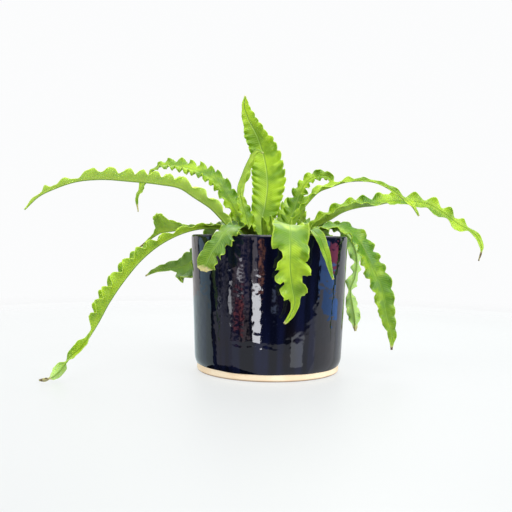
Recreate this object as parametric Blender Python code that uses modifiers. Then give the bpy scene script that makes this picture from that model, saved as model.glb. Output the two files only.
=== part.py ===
"""Bird's nest fern with ruffled fronds, growing in a straight glazed pot.

Metres, +Z up. The origin is on the table under the middle of the pot, with X to the right and Y to the back.
"""

import math
from typing import NamedTuple

import bmesh
import bpy
from mathutils import Matrix, Vector

MM = 0.001

# The pot is one fired piece: a straight glazed wall, rounded in at the heel, on a bare clay foot.
POT_HEIGHT = 0.120
RIM_RADIUS = 0.070
HEEL_RADIUS = 0.0658
HEEL_HEIGHT = 0.014
GLAZE_RADIUS = 0.0642
GLAZE_HEIGHT = 0.0065
FOOT_RADIUS = 0.062
FOOT_ROUND = 0.0015
WALL = 0.005
FLOOR = 0.008
FLOOR_CORNER = 0.006
LIP_ROUND = 0.0022
POT_STEPS = 56
ROUND_STEPS = 3

# The soil fills the pot nearly to the rim, rises towards the plant and holds the crown in a plain recess.
GAP = 0.0003
SOIL_TOP = 0.098
SOIL_RISE = 0.003
SOIL_DIP = 0.0006
SOIL_BANK = 0.006
SOIL_STEPS = 40
RECESS_FLOOR = 0.088

# The crown is the short upright stem that every frond grows from.
CROWN_RADIUS = 0.025
CROWN_SHOULDER = 0.100
CROWN_DOME = 0.011
CROWN_STEPS = 32
DOME_STEPS = 5
SOCKET_RADIUS = 0.00275
SOCKET_SIDES = 8
SOCKET_LENGTH = 0.030

# A frond stands on a stout stalk. Its blade is thick along the rib and thin at the edge, and its waves
# grow over the first stretch.
STALK_HALF_WIDTH = 0.0015
STALK_THICKNESS = 0.0026
STALK_LENGTH = 0.010
RIB_THICKNESS = 0.0017
EDGE_THICKNESS = 0.0007
THINNING = 0.12
GROWING = 0.15
STATIONS_PER_WAVE = 4
STATION_STEP = 0.0033
RIB_STEP = 0.001
# The waves stray a little from even spacing, and the lean of the edge fades out near the tip.
WANDER = 0.012
WANDERINGS = 2.3
LEAN_MEASURE = 0.010
WANING = 0.07


class Frond(NamedTuple):
    """One frond, in millimetres and degrees. Its lists run from the top of the stalk to the tip: evenly
    spread values, or pairs of a share of the way and a value. Of a pair for the two sides, the first is on
    the left of someone who looks from the foot to the tip along the upper face."""

    name: str
    rib: list  # x, y, z along the mid-rib, from the foot in its socket to the tip
    half: list  # half the width of the blade, or one list for each side
    fold: list  # how far each half of the blade is folded up from flat
    swing: float  # how far a wave swings the edge up and down
    notch: float  # how deep the edge is cut between waves, as a share of the half width
    turn: list = [0]  # how far the blade is turned about its rib
    pitch: float = 12  # the length of one wave of the edge, where the crests aren't given
    crests: tuple = ()  # for each side, the shares at which a wave has its crest
    lean: float = 2  # how far a point of the edge 10 mm from the rib is drawn towards the tip


FRONDS = [
    Frond(
        "frond_left_long",
        [(-12, 0, 102), (-26, -2, 118), (-40, -4, 131), (-53, -6, 144), (-67, -8, 153), (-80, -10, 161),
         (-97, -12, 164), (-123, -15, 166), (-149, -18, 167), (-171, -21, 164), (-187, -23, 158),
         (-200, -25, 151), (-212, -27, 139)],
        half=[3, 6, 10, 11.5, 10.5, 11.5, 11.5, 11, 7.5, 5, 1],
        fold=[30, 50, 52, 50, 50, 40], swing=15, notch=0.2, lean=-2,
        crests=((0.06, 0.14, 0.217, 0.295, 0.374, 0.418, 0.475, 0.526, 0.575, 0.646, 0.716, 0.803, 0.885,
                 0.955),
                (0.07, 0.15, 0.227, 0.307, 0.384, 0.432, 0.483, 0.534, 0.587, 0.655, 0.725, 0.81, 0.89,
                 0.955)),
    ),
    Frond(
        "frond_left_high",
        [(-10, 6, 102), (-19, 9, 117), (-27, 12, 132), (-37, 18, 152), (-48, 27, 168), (-62, 35, 178),
         (-77, 43, 183), (-92, 50, 187), (-105, 54, 187), (-117, 58, 184), (-125, 60, 176),
         (-129, 60, 165), (-131, 60, 154), (-131, 60, 141)],
        half=[(0, 3), (0.1, 7), (0.25, 9.5), (0.45, 10), (0.6, 9.5), (0.68, 7.5), (0.74, 5), (0.79, 3.5),
              (0.85, 6.5), (0.89, 6.5), (0.94, 3), (1, 0.5)],
        fold=[25, 20, 15, 15], turn=[0, -35, -35, -35, -75], swing=22, notch=0.15,
        crests=((0.05, 0.12, 0.19, 0.245, 0.3, 0.345, 0.385, 0.43, 0.475, 0.515, 0.555, 0.6, 0.649, 0.7,
                 0.76, 0.84, 0.92),
                (0.06, 0.13, 0.2, 0.27, 0.335, 0.4, 0.44, 0.49, 0.553, 0.61, 0.672, 0.722, 0.78, 0.85, 0.93)),
    ),
    Frond(
        "frond_centre_tall",
        [(-1, 8, 103), (-5, 12, 116), (-7, 16, 131), (-4, 20, 148), (-2, 23, 168), (-4, 26, 186),
         (-8, 27, 201), (-13, 24, 214), (-21, 20, 228), (-25, 16, 240), (-24, 14, 248)],
        half=[2, 9, 13, 14, 15, 15, 13, 12, 10, 7, 4, 1],
        fold=[20, 12, 10, 10], turn=[0, 0, 0, 10], pitch=7.5, swing=9, notch=0.12,
    ),
    Frond(
        "frond_young_hook",
        [(-5, 1, 103), (-12, 3, 116), (-19, 4, 131), (-25, 5, 147), (-29, 6, 161), (-25, 5, 175),
         (-21, 3, 185), (-17, 0, 192), (-12, -5, 196), (-7, -9, 193)],
        half=[2, 3.4, 4, 4, 4, 4.2, 5, 5, 4, 1],
        fold=[30, 45, 50, 40], pitch=14, swing=10, notch=0.05,
    ),
    Frond(
        "frond_right_inner",
        [(5, 6, 103), (12, 11, 117), (19, 15, 133), (24, 20, 146), (28, 24, 158), (32, 26, 167),
         (37, 27, 173), (43, 27, 176), (50, 26, 177), (56, 24, 175), (58, 22, 169)],
        half=[2, 7, 10, 11, 11, 10.5, 9, 7, 7, 6.5, 5, 2],
        fold=[20, 15, 20, 25], turn=[0, 10, 20, 40], pitch=9, swing=28, notch=0.22,
    ),
    Frond(
        "frond_right_slim",
        [(10, -5, 102), (16, -5, 117), (22, -4, 131), (28, -4, 143), (35, -5, 152), (43, -7, 160),
         (53, -10, 164), (65, -15, 168), (78, -20, 169), (91, -25, 167), (102, -30, 161), (112, -34, 153),
         (119, -37, 147), (125, -39, 138)],
        half=[(0, 3), (0.1, 6), (0.28, 7.5), (0.36, 7), (0.44, 5.5), (0.485, 2), (0.535, 5), (0.575, 1.8),
              (0.62, 3.6), (0.665, 1.6), (0.74, 2.6), (0.81, 4), (0.87, 2.4), (0.92, 4), (0.97, 2), (1, 0.8)],
        fold=[25, 25, 30, 30], turn=[0, 20, 35, 20], pitch=15, swing=15, notch=0.05,
    ),
    Frond(
        "frond_right_long",
        [(18, 4, 99), (30, 6, 116), (44, 8, 130), (55, 10, 136), (69, 12, 144), (83, 15, 148),
         (98, 17, 150), (111, 19, 153), (125, 20, 154), (138, 20, 153), (150, 19, 150), (161, 16, 143),
         (175, 12, 132), (184, 9, 127), (189, 6, 121), (192, 3, 112), (189, 0, 100)],
        half=([(0, 3), (0.08, 7), (0.15, 8), (0.185, 11), (0.215, 7.5), (0.25, 11), (0.285, 8), (0.32, 10.5),
               (0.345, 8.5), (0.37, 10.5), (0.41, 7), (0.445, 11), (0.485, 8.5), (0.515, 10.5), (0.545, 4),
               (0.59, 9.5), (0.628, 3.5), (0.665, 9), (0.7, 3.5), (0.735, 8.5), (0.77, 3.5), (0.81, 7.5),
               (0.84, 2), (0.885, 3.5), (0.93, 3), (0.96, 1), (1, 0.5)],
              [(0, 3), (0.08, 7), (0.2, 9), (0.25, 10), (0.32, 10), (0.37, 10), (0.445, 10), (0.5, 8),
               (0.555, 4), (0.61, 7.5), (0.645, 4), (0.7, 8.5), (0.745, 3), (0.815, 8.5), (0.85, 1.5),
               (0.89, 2.5), (0.93, 2.5), (0.96, 1), (1, 0.5)]),
        fold=[30, 50, 50, 35, 15, 10, 10, 20], turn=[0, 10, 20, 35, 60, 65, 60, 40], swing=15, notch=0,
        lean=-1.5,
        crests=((0.06, 0.12, 0.185, 0.25, 0.32, 0.37, 0.445, 0.515, 0.59, 0.665, 0.735, 0.81, 0.89, 0.97),
                (0.06, 0.12, 0.185, 0.25, 0.32, 0.37, 0.445, 0.515, 0.61, 0.7, 0.755, 0.815, 0.9, 0.97)),
    ),
    Frond(
        "frond_right_droop",
        [(19, -8, 98), (28, -10, 112), (38, -12, 122), (49, -14, 127), (60, -16, 127), (70, -17, 124),
         (79, -18, 115), (85, -19, 103), (90, -20, 92), (96, -22, 80), (100, -23, 65), (103, -24, 50),
         (107, -24, 36), (107, -24, 22)],
        half=[3, 6, 7, 8, 10, 11, 11.5, 11, 10, 8, 6, 1],
        fold=[20, 15, 12, 10], turn=[0, 5, 20, 60, 70, 70], pitch=12, swing=15, notch=0.12,
    ),
    Frond(
        "frond_right_twisted",
        [(16, 11, 99), (27, 18, 114), (39, 23, 125), (53, 25, 130), (66, 25, 127), (76, 24, 118),
         (81, 22, 107), (82, 20, 94), (80, 18, 83), (76, 17, 71), (78, 16, 57), (80, 15, 46), (81, 14, 33)],
        half=[(0, 3), (0.15, 6), (0.35, 7), (0.45, 8), (0.54, 7), (0.585, 2.5), (0.615, 6), (0.65, 2.5),
              (0.7, 7.5), (0.76, 2), (0.8, 5), (0.86, 7), (0.92, 6), (0.97, 2.5), (1, 1)],
        fold=[20, 15, 15], turn=[0, 0, -90, -110, -80], pitch=14, swing=24, notch=0.1,
    ),
    Frond(
        "frond_front_broad",
        [(6, -18, 99), (10, -26, 112), (13, -36, 124), (15, -49, 128), (15, -63, 127), (15, -75, 120),
         (15, -81, 107), (15, -82, 93), (17, -81, 79), (19, -80, 66), (16, -79, 57), (11, -79, 50)],
        half=([(0, 2), (0.08, 7), (0.2, 12), (0.3, 13.5), (0.37, 15.7), (0.46, 14.8), (0.485, 13.6),
               (0.522, 15.1), (0.552, 15.4), (0.58, 13.9), (0.597, 12.1), (0.606, 15.1), (0.62, 17.2),
               (0.645, 16.9), (0.685, 13.9), (0.694, 10), (0.705, 9), (0.738, 8.3), (0.744, 11),
               (0.758, 12.3), (0.79, 11.3), (0.82, 8.6), (0.828, 5.5), (0.846, 4.2), (0.925, 3),
               (0.977, 2), (1, 1)],
              [(0, 2), (0.08, 7), (0.2, 12), (0.3, 14.5), (0.36, 15), (0.41, 15.7), (0.5, 15.2), (0.535, 14),
               (0.55, 9.5), (0.58, 7), (0.6, 7), (0.61, 12.3), (0.63, 13.2), (0.648, 12), (0.655, 8.5),
               (0.665, 8.5), (0.675, 12.6), (0.695, 13.6), (0.71, 12.6), (0.72, 6.8), (0.742, 5.8),
               (0.756, 10.4), (0.79, 11.2), (0.82, 9), (0.832, 4.6), (0.865, 3.2), (0.934, 1.8), (1, 0.8)]),
        fold=[15, 8, 12, 15], swing=17, notch=0, lean=2.5,
        crests=((0.2, 0.38, 0.55, 0.63, 0.76, 0.9), (0.2, 0.42, 0.62, 0.71, 0.79, 0.9)),
    ),
    Frond(
        "frond_front_left_blunt",
        [(-8, -15, 99), (-13, -22, 113), (-20, -31, 123), (-27, -43, 126), (-33, -55, 125), (-38, -63, 120),
         (-42.5, -69.5, 112), (-47, -72, 106), (-50, -73, 100), (-52, -74, 95), (-53, -74, 90)],
        half=([(0, 2), (0.15, 7), (0.3, 10), (0.42, 11), (0.47, 7), (0.5, 7.5), (0.53, 11), (0.575, 11),
               (0.59, 6), (0.61, 6), (0.64, 10.5), (0.69, 10), (0.705, 5), (0.725, 5), (0.75, 9),
               (0.8, 9), (0.815, 5), (0.835, 5), (0.86, 8.5), (0.92, 8.5), (0.96, 7), (1, 3)],
              [(0, 2), (0.15, 6), (0.3, 8), (0.5, 7), (0.6, 6.8), (0.7, 7.8), (0.8, 8), (0.9, 8),
               (0.96, 6.5), (1, 3)]),
        fold=[15, 10, 10], turn=[0, -12, -25], swing=12, notch=0, lean=3.5,
        crests=((0.15, 0.28, 0.41, 0.55, 0.665, 0.775, 0.89), (0.1, 0.25, 0.4, 0.52, 0.64, 0.76, 0.88)),
    ),
    Frond(
        "frond_front_right_small",
        [(13, -16, 99), (20.5, -20, 112), (27, -28, 120), (32, -41, 123.5), (35, -54, 123.5),
         (39, -62.5, 118.5), (42, -67, 110), (45, -68.5, 102), (47, -69.5, 94), (50, -71, 85)],
        half=[2, 4.5, 5, 5, 5, 4.5, 2.8, 1],
        fold=[20, 25, 25], turn=[0, 15, 15], pitch=20, swing=7, notch=0.03, lean=0,
    ),
    Frond(
        "frond_left_floor",
        [(-18, -4, 99), (-30, -7, 115), (-43, -10, 125), (-55, -13, 126), (-68, -19, 124),
         (-79, -24, 120), (-96, -31, 110), (-109, -38, 98), (-121, -46, 82), (-133, -54, 62),
         (-141, -60, 45), (-152, -66, 27), (-161, -70, 18), (-165, -72, 12), (-170, -75, 6), (-176, -79, 3),
         (-181, -82, 3)],
        half=[(0, 3), (0.1, 5), (0.2, 6), (0.3, 7), (0.38, 9), (0.45, 11.5), (0.55, 12.5), (0.65, 12.5),
              (0.715, 11), (0.755, 2.2), (0.78, 3), (0.82, 6.5), (0.86, 5), (0.885, 1.6), (0.91, 5.5),
              (0.935, 6), (0.952, 3.5), (0.965, 1), (0.98, 2), (1, 0.8)],
        fold=[20, 25, 35, 50, 55, 55, 35, 10],
        turn=[(0, 0), (0.74, 0), (0.8, -60), (0.865, -60), (0.91, 80), (1, 80)],
        swing=16, notch=0.28, lean=-2.5,
        crests=((0.06, 0.13, 0.2, 0.27, 0.34, 0.4, 0.452, 0.51, 0.575, 0.63, 0.675, 0.725, 0.83, 0.93),
                (0.06, 0.13, 0.2, 0.27, 0.34, 0.4, 0.462, 0.52, 0.583, 0.638, 0.683, 0.73, 0.83, 0.93)),
    ),
    Frond(
        "frond_left_back",
        [(-17, 8, 99), (-28, 12, 115), (-40, 16, 125), (-54, 20, 128), (-67, 25, 126), (-81, 31, 125),
         (-94, 38, 123), (-105, 43, 121), (-115, 46, 115), (-125, 49, 107), (-135, 52, 99)],
        half=([(0, 3), (0.2, 4), (0.35, 4), (0.43, 6), (0.47, 5), (0.53, 7), (0.57, 9), (0.6, 14),
               (0.625, 17), (0.65, 19), (0.68, 18), (0.705, 14), (0.73, 7), (0.76, 3), (0.8, 2.5),
               (0.85, 1.5), (1, 0.7)],
              [(0, 3), (0.2, 4), (0.35, 4), (0.45, 5), (0.55, 6), (0.62, 9), (0.66, 9), (0.69, 7),
               (0.72, 3.5), (0.78, 2.5), (0.85, 1.5), (1, 0.7)]),
        fold=[(0, 20), (0.4, 35), (0.56, 55), (0.66, 68), (0.74, 60), (0.8, 20), (1, 10)],
        swing=6, notch=0, lean=1.5,
        crests=((0.1, 0.22, 0.33, 0.43, 0.53, 0.605, 0.66, 0.71, 0.8),
                (0.1, 0.22, 0.33, 0.43, 0.53, 0.62, 0.7, 0.8)),
    ),
    Frond(
        "frond_left_low",
        [(-13, 15, 99), (-23, 21, 115), (-33, 31, 127), (-43, 45, 130), (-51, 57, 127), (-59, 67, 115),
         (-66, 74, 102), (-76, 80, 93), (-87, 85, 87), (-101, 88, 85), (-115, 90, 82), (-126, 91, 77)],
        half=([(0, 3), (0.2, 8), (0.4, 11), (0.52, 17), (0.6, 22), (0.66, 26), (0.7, 25), (0.745, 20),
               (0.765, 16), (0.78, 7), (0.82, 4.5), (0.88, 3), (1, 0.8)],
              [(0, 3), (0.2, 7), (0.4, 9), (0.55, 10), (0.66, 14), (0.69, 15), (0.72, 12), (0.75, 12.5),
               (0.79, 8), (0.83, 9), (0.87, 5.5), (0.9, 6), (0.94, 3.5), (1, 0.8)]),
        fold=[20, 25, 20, 20], turn=[0, -10, -70, -75], pitch=14, swing=9, notch=0.08, lean=0.3,
    ),
    Frond(
        "frond_inner_left",
        [(-7, -5, 103), (-13, -5, 116), (-19, -5, 128), (-22, -4, 138), (-25, -3, 147), (-27, -2, 156)],
        half=[(0, 2), (0.25, 6), (0.5, 7.5), (0.75, 6.5), (0.92, 4), (1, 1.5)],
        fold=[20, 15], turn=[0, -60, -70], pitch=9, swing=20, notch=0.2,
    ),
    Frond(
        "frond_bud_left",
        [(-1, -7, 103), (-4, -9, 113), (-6, -12, 122), (-7, -15, 131), (-7, -19, 136)],
        half=[2, 4, 5, 4, 1],
        fold=[40, 50], pitch=9, swing=12, notch=0.08,
    ),
    Frond(
        "frond_bud_right",
        [(5, -9, 103), (4, -13, 113), (3, -17, 122), (1, -21, 131), (0, -25, 137)],
        half=[2, 4, 5, 4, 1],
        fold=[40, 50], pitch=9, swing=12, notch=0.08,
    ),
    Frond(
        "frond_back_left",
        [(-5, 19, 99), (-13, 29, 115), (-21.5, 42, 131), (-29, 57, 137), (-36, 71, 131), (-41, 83, 115),
         (-44, 90, 96), (-46, 93, 76), (-47, 94, 58)],
        half=[2, 7, 9, 10, 9, 8, 7, 5, 1],
        fold=[20, 20, 15], turn=[0, 10, 0], pitch=12, swing=24, notch=0.18,
    ),
    Frond(
        "frond_back_middle",
        [(3, 20, 99), (1, 31, 115), (-3, 45, 134), (-7, 60, 140), (-9, 76, 132), (-10, 87, 116),
         (-9, 93, 94), (-7, 95, 71), (-2, 95, 48)],
        half=[2, 8, 10, 11, 11, 10, 8, 6, 1],
        fold=[20, 15, 15], turn=[0, -5, 5], pitch=12, swing=24, notch=0.18,
    ),
    Frond(
        "frond_back_right",
        [(9, 17, 99), (20, 27, 115), (31, 38, 127), (42, 50, 132), (52, 62, 128), (59, 72, 115),
         (62, 78, 98), (64, 81, 79)],
        half=[2, 6, 8, 8, 8, 7, 5, 1],
        fold=[20, 20, 20], turn=[0, 10, 10], pitch=12, swing=26, notch=0.18,
    ),
    Frond(
        "frond_back_inner",
        [(4, 14, 103), (8, 23, 115), (13, 34, 131), (18, 46, 145), (23, 58, 152), (29, 70, 148),
         (33, 81, 138), (37, 89, 122)],
        half=[2, 7, 9, 9, 9, 8, 6, 1],
        fold=[20, 20, 20], pitch=10, swing=24, notch=0.18,
    ),
]


def new_material(name, colour, roughness):
    material = bpy.data.materials.new(name)
    material.use_nodes = True
    shader = material.node_tree.nodes["Principled BSDF"]
    shader.inputs["Base Color"].default_value = (*colour, 1)
    shader.inputs["Roughness"].default_value = roughness
    shader.inputs["Metallic"].default_value = 0
    material.diffuse_color = (*colour, 1)
    return material


def new_object(name, bm, collection, material=None):
    mesh = bpy.data.meshes.new(name)
    bm.to_mesh(mesh)
    bm.free()
    part = bpy.data.objects.new(name, mesh)
    collection.objects.link(part)
    if material:
        mesh.materials.append(material)
    return part


def turned(name, profile, steps, collection, material):
    """A solid of revolution. The profile is (radius, height) pairs, and runs down the outer side."""
    bm = bmesh.new()
    points = [bm.verts.new((radius, 0, height)) for radius, height in profile]
    for start, end in zip(points, points[1:]):
        bm.edges.new((start, end))
    part = new_object(name, bm, collection, material)
    screw = part.modifiers.new("turn", "SCREW")
    screw.steps = screw.render_steps = steps
    screw.use_merge_vertices = True
    screw.merge_threshold = 0.00001
    return part


def arc(centre, radius, start, end, count):
    """Points (radius, height) round a centre, with the angles in degrees."""
    angles = [math.radians(start + (end - start) * k / count) for k in range(count + 1)]
    return [(centre[0] + radius * math.cos(a), centre[1] + radius * math.sin(a)) for a in angles]


def inner_radius(height):
    """The radius of the pot's inner wall, which widens evenly from the corner at its floor to the lip."""
    low, high = FLOOR + FLOOR_CORNER, POT_HEIGHT - LIP_ROUND
    return HEEL_RADIUS - WALL + (RIM_RADIUS - HEEL_RADIUS) * (height - low) / (high - low)


def make_pot(collection):
    lip_height = POT_HEIGHT - LIP_ROUND
    corner = (HEEL_RADIUS - WALL - FLOOR_CORNER, FLOOR + FLOOR_CORNER)
    profile = [(0, FLOOR)]
    profile += arc(corner, FLOOR_CORNER, -90, 0, ROUND_STEPS)
    profile += arc((RIM_RADIUS - WALL + LIP_ROUND, lip_height), LIP_ROUND, 180, 90, ROUND_STEPS)
    profile += arc((RIM_RADIUS - LIP_ROUND, lip_height), LIP_ROUND, 90, 0, ROUND_STEPS)
    middle = ((HEEL_RADIUS * 3 + GLAZE_RADIUS) / 4, (HEEL_HEIGHT + GLAZE_HEIGHT) / 2)
    profile += [(HEEL_RADIUS, HEEL_HEIGHT), middle, (GLAZE_RADIUS, GLAZE_HEIGHT)]
    profile += [(FOOT_RADIUS + FOOT_ROUND, FOOT_ROUND), (FOOT_RADIUS, 0), (0, 0)]
    material = new_material("navy_glaze", (0.006, 0.008, 0.02), 0.12)
    return turned("pot", profile, POT_STEPS, collection, material)


def make_soil(collection):
    recess = CROWN_RADIUS + GAP
    edge = inner_radius(SOIL_TOP) - GAP
    corner = (HEEL_RADIUS - WALL - FLOOR_CORNER, FLOOR + FLOOR_CORNER)
    bank = SOIL_TOP + SOIL_RISE
    profile = [(0, RECESS_FLOOR), (recess, RECESS_FLOOR), (recess, bank - SOIL_DIP)]
    profile += [(recess + SOIL_BANK, bank), ((recess + edge) / 2, (bank + SOIL_TOP) / 2), (edge, SOIL_TOP)]
    profile += arc(corner, FLOOR_CORNER - GAP, 0, -90, ROUND_STEPS)
    profile += [(0, FLOOR + GAP)]
    material = new_material("potting_soil", (0.05, 0.03, 0.018), 0.95)
    return turned("soil", profile, SOIL_STEPS, collection, material)


def make_crown(collection, cutters, fronds):
    floor = RECESS_FLOOR + GAP
    round_top = arc((0, 0), CROWN_RADIUS, 90, 0, DOME_STEPS)
    dome = [(radius, CROWN_SHOULDER + height * CROWN_DOME / CROWN_RADIUS) for radius, height in round_top]
    profile = [(0, dome[0][1])] + dome[1:] + [(CROWN_RADIUS, floor), (0, floor)]
    material = new_material("crown_scales", (0.09, 0.05, 0.025), 0.9)
    crown = turned("crown", profile, CROWN_STEPS, collection, material)
    for frond in fronds:
        socket = crown.modifiers.new(frond.name, "BOOLEAN")
        socket.object = make_socket_cutter(frond, cutters)
        socket.solver = "EXACT"
    return crown


def make_socket_cutter(frond, cutters):
    """A plain round hole along the first stretch of the stalk."""
    rib = Rib(frond.rib)
    foot = rib.places[0]
    aim = (rib.at(STALK_LENGTH)[0] - foot).normalized()
    bm = bmesh.new()
    bmesh.ops.create_cone(
        bm,
        cap_ends=True,
        segments=SOCKET_SIDES,
        radius1=SOCKET_RADIUS,
        radius2=SOCKET_RADIUS,
        depth=SOCKET_LENGTH,
    )
    cutter = new_object("socket_" + frond.name, bm, cutters)
    upright = aim.to_track_quat("Z", "Y").to_matrix().to_4x4()
    cutter.matrix_world = Matrix.Translation(foot + aim * (SOCKET_LENGTH / 2 - 2 * GAP)) @ upright
    cutter.hide_render = True
    cutter.display_type = "WIRE"
    return cutter


def smooth_path(points):
    """Points about every RIB_STEP along one smooth curve through the points."""
    spans = [(end - start).length for start, end in zip(points, points[1:])]
    slopes = [(end - start) / span for start, end, span in zip(points, points[1:], spans)]
    tangents = [slopes[0]]
    for left, right, before, after in zip(slopes, slopes[1:], spans, spans[1:]):
        tangents.append((left * after + right * before) / (before + after))
    tangents.append(slopes[-1])
    path = [points[0]]
    for i, span in enumerate(spans):
        count = max(1, round(span / RIB_STEP))
        for k in range(1, count + 1):
            t = k / count
            start = points[i] * (1 + 2 * t) * (1 - t) ** 2 + tangents[i] * span * t * (1 - t) ** 2
            end = points[i + 1] * t * t * (3 - 2 * t) + tangents[i + 1] * span * t * t * (t - 1)
            path.append(start + end)
    return path


def eased(t):
    """From 0 to 1 with a gentle start and end."""
    t = min(max(t, 0), 1)
    return t * t * (3 - 2 * t)


def along(values, share):
    """The value of a list at this share of the way, eased from one entry to the next."""
    if len(values) == 1:
        return values[0]
    if not isinstance(values[0], tuple):
        values = [(k / (len(values) - 1), value) for k, value in enumerate(values)]
    index = 0
    while index < len(values) - 2 and values[index + 1][0] < share:
        index += 1
    start, low = values[index]
    end, high = values[index + 1]
    return low + (high - low) * eased((share - start) / (end - start))


class Rib:
    """A frond's mid-rib: its places, its direction, and the side that the blade's upper face is on."""

    def __init__(self, points):
        self.places = smooth_path([Vector(point) * MM for point in points])
        steps = [end - start for start, end in zip(self.places, self.places[1:])]
        self.lengths = [0]
        for step in steps:
            self.lengths.append(self.lengths[-1] + step.length)
        self.length = self.lengths[-1]
        self.aims = [step.normalized() for step in steps] + [steps[-1].normalized()]
        outward = self.places[len(self.places) // 2] - self.places[0]
        up = Vector((-outward.x, -outward.y, 0))
        self.ups = []
        for aim in self.aims:
            up = (up - aim * up.dot(aim)).normalized()
            self.ups.append(up)

    def at(self, distance):
        """The place, direction and upper side at this distance from the foot."""
        index = 0
        while index < len(self.lengths) - 2 and self.lengths[index + 1] < distance:
            index += 1
        span = self.lengths[index + 1] - self.lengths[index]
        t = min(max((distance - self.lengths[index]) / span, 0), 1)
        place = self.places[index].lerp(self.places[index + 1], t)
        aim = self.aims[index].lerp(self.aims[index + 1], t).normalized()
        up = self.ups[index].lerp(self.ups[index + 1], t)
        return place, aim, (up - aim * up.dot(aim)).normalized()


def wave_count(frond, length):
    return len(frond.crests[0]) + 1 if frond.crests else round(length / (frond.pitch * MM))


def beat_at(frond, side, share, length):
    """How many waves of the edge lie between the top of the stalk and this share, on one side."""
    if not frond.crests:
        wander = WANDER * math.sin(math.pi * share) * math.sin(math.tau * WANDERINGS * share + frond.pitch)
        return wave_count(frond, length) * (share + wander) + side / 2
    crests = frond.crests[side]
    places = [2 * crests[0] - crests[1], *crests, 2 * crests[-1] - crests[-2]]
    index = 0
    while index < len(places) - 2 and places[index + 1] < share:
        index += 1
    return index + min((share - places[index]) / (places[index + 1] - places[index]), 1)


def blade_point(frond, rib, share, across):
    """A point of the frond. Share is -1 at the foot, 0 at the top of the stalk and 1 at the tip, and across
    runs from -1 at one edge to 1 at the other."""
    if share <= 0:
        place, aim, up = rib.at(STALK_LENGTH * (1 + share))
        return place + aim.cross(up) * STALK_HALF_WIDTH * across
    length = rib.length - STALK_LENGTH
    place, aim, up = rib.at(STALK_LENGTH + length * share)
    up = Matrix.Rotation(math.radians(along(frond.turn, share)), 3, aim) @ up
    side = 1 if across > 0 else 0
    beat = beat_at(frond, side, share, length)
    half = frond.half[side] if isinstance(frond.half, tuple) else frond.half
    grown = min(share / GROWING, 1)
    cut = frond.notch * grown * (1 - abs(math.cos(math.pi * beat)))
    reach = along(half, share) * MM * (1 - cut) * abs(across)
    lift = math.radians(along(frond.fold, share) + frond.swing * math.cos(math.tau * beat)) * grown
    lean = frond.lean * MM * (reach / LEAN_MEASURE) ** 2 * (1 - eased((share - 1 + WANING) / WANING))
    outward = aim.cross(up) * math.copysign(1, across)
    return place + outward * reach * math.cos(lift) + up * reach * math.sin(lift) + aim * lean


def make_frond(frond, collection, material):
    """A waved blade on a stalk: a grid bent by formula, split into triangles and given its thickness."""
    rib = Rib(frond.rib)
    length = rib.length - STALK_LENGTH
    stations = max(wave_count(frond, length) * STATIONS_PER_WAVE, round(length / STATION_STEP))
    bm = bmesh.new()
    bmesh.ops.create_grid(bm, x_segments=2, y_segments=stations + 1, size=1)
    weights = bm.verts.layers.deform.verify()
    for vert in bm.verts:
        across = vert.co.x
        station = round((vert.co.y + 1) / 2 * (stations + 1)) - 1
        share = station / stations if station >= 0 else -1
        full = RIB_THICKNESS if abs(across) < 0.5 else EDGE_THICKNESS
        thinned = min(max(share / THINNING, 0), 1)
        vert[weights][0] = (STALK_THICKNESS + (full - STALK_THICKNESS) * thinned) / STALK_THICKNESS
        vert.co = blade_point(frond, rib, share, across)
    bmesh.ops.triangulate(bm, faces=bm.faces[:])
    part = new_object(frond.name, bm, collection, material)
    part.vertex_groups.new(name="thickness")
    shell = part.modifiers.new("thickness", "SOLIDIFY")
    shell.thickness = STALK_THICKNESS
    shell.offset = 0
    shell.vertex_group = "thickness"
    shell.use_rim = True
    return part


def main():
    for old in list(bpy.data.objects):
        bpy.data.objects.remove(old, do_unlink=True)
    parts = bpy.data.collections.new("potted_fern")
    cutters = bpy.data.collections.new("cutters")
    bpy.context.scene.collection.children.link(parts)
    bpy.context.scene.collection.children.link(cutters)
    make_pot(parts)
    make_soil(parts)
    make_crown(parts, cutters, FRONDS)
    leaf = new_material("fern_leaf", (0.23, 0.42, 0.03), 0.42)
    for frond in FRONDS:
        make_frond(frond, parts, leaf)
    for part in parts.objects:
        part.data.shade_smooth()


main()
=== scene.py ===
"""Looks for the potted bird's nest fern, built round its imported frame.

Metres, +Z up. The origin is on the table under the middle of the pot, with X to the right and Y to the back.
"""

import math
from typing import NamedTuple

import bpy
import numpy as np
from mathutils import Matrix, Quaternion, Vector


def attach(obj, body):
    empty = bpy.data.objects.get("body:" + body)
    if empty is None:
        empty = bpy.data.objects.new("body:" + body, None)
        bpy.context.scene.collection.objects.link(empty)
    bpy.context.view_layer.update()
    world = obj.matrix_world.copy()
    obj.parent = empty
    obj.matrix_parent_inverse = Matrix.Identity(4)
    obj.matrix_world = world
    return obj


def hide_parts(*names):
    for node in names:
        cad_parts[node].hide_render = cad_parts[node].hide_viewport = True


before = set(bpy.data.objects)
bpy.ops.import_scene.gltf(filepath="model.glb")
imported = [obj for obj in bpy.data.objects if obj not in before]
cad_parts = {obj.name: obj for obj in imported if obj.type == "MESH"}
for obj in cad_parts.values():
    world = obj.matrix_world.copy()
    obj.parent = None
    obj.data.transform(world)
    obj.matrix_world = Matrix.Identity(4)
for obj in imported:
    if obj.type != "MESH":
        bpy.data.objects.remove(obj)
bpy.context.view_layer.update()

MM = 0.001
TURN = math.tau

# The camera at the photo's place, in metres and degrees, with its lens in millimetres.
CAMERA_PLACE = (-0.01194, -0.62, 0.115)
CAMERA_PITCH = 1.26
CAMERA_ROLL = 0.865
LENS = 48.35
SENSOR = 36

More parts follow.
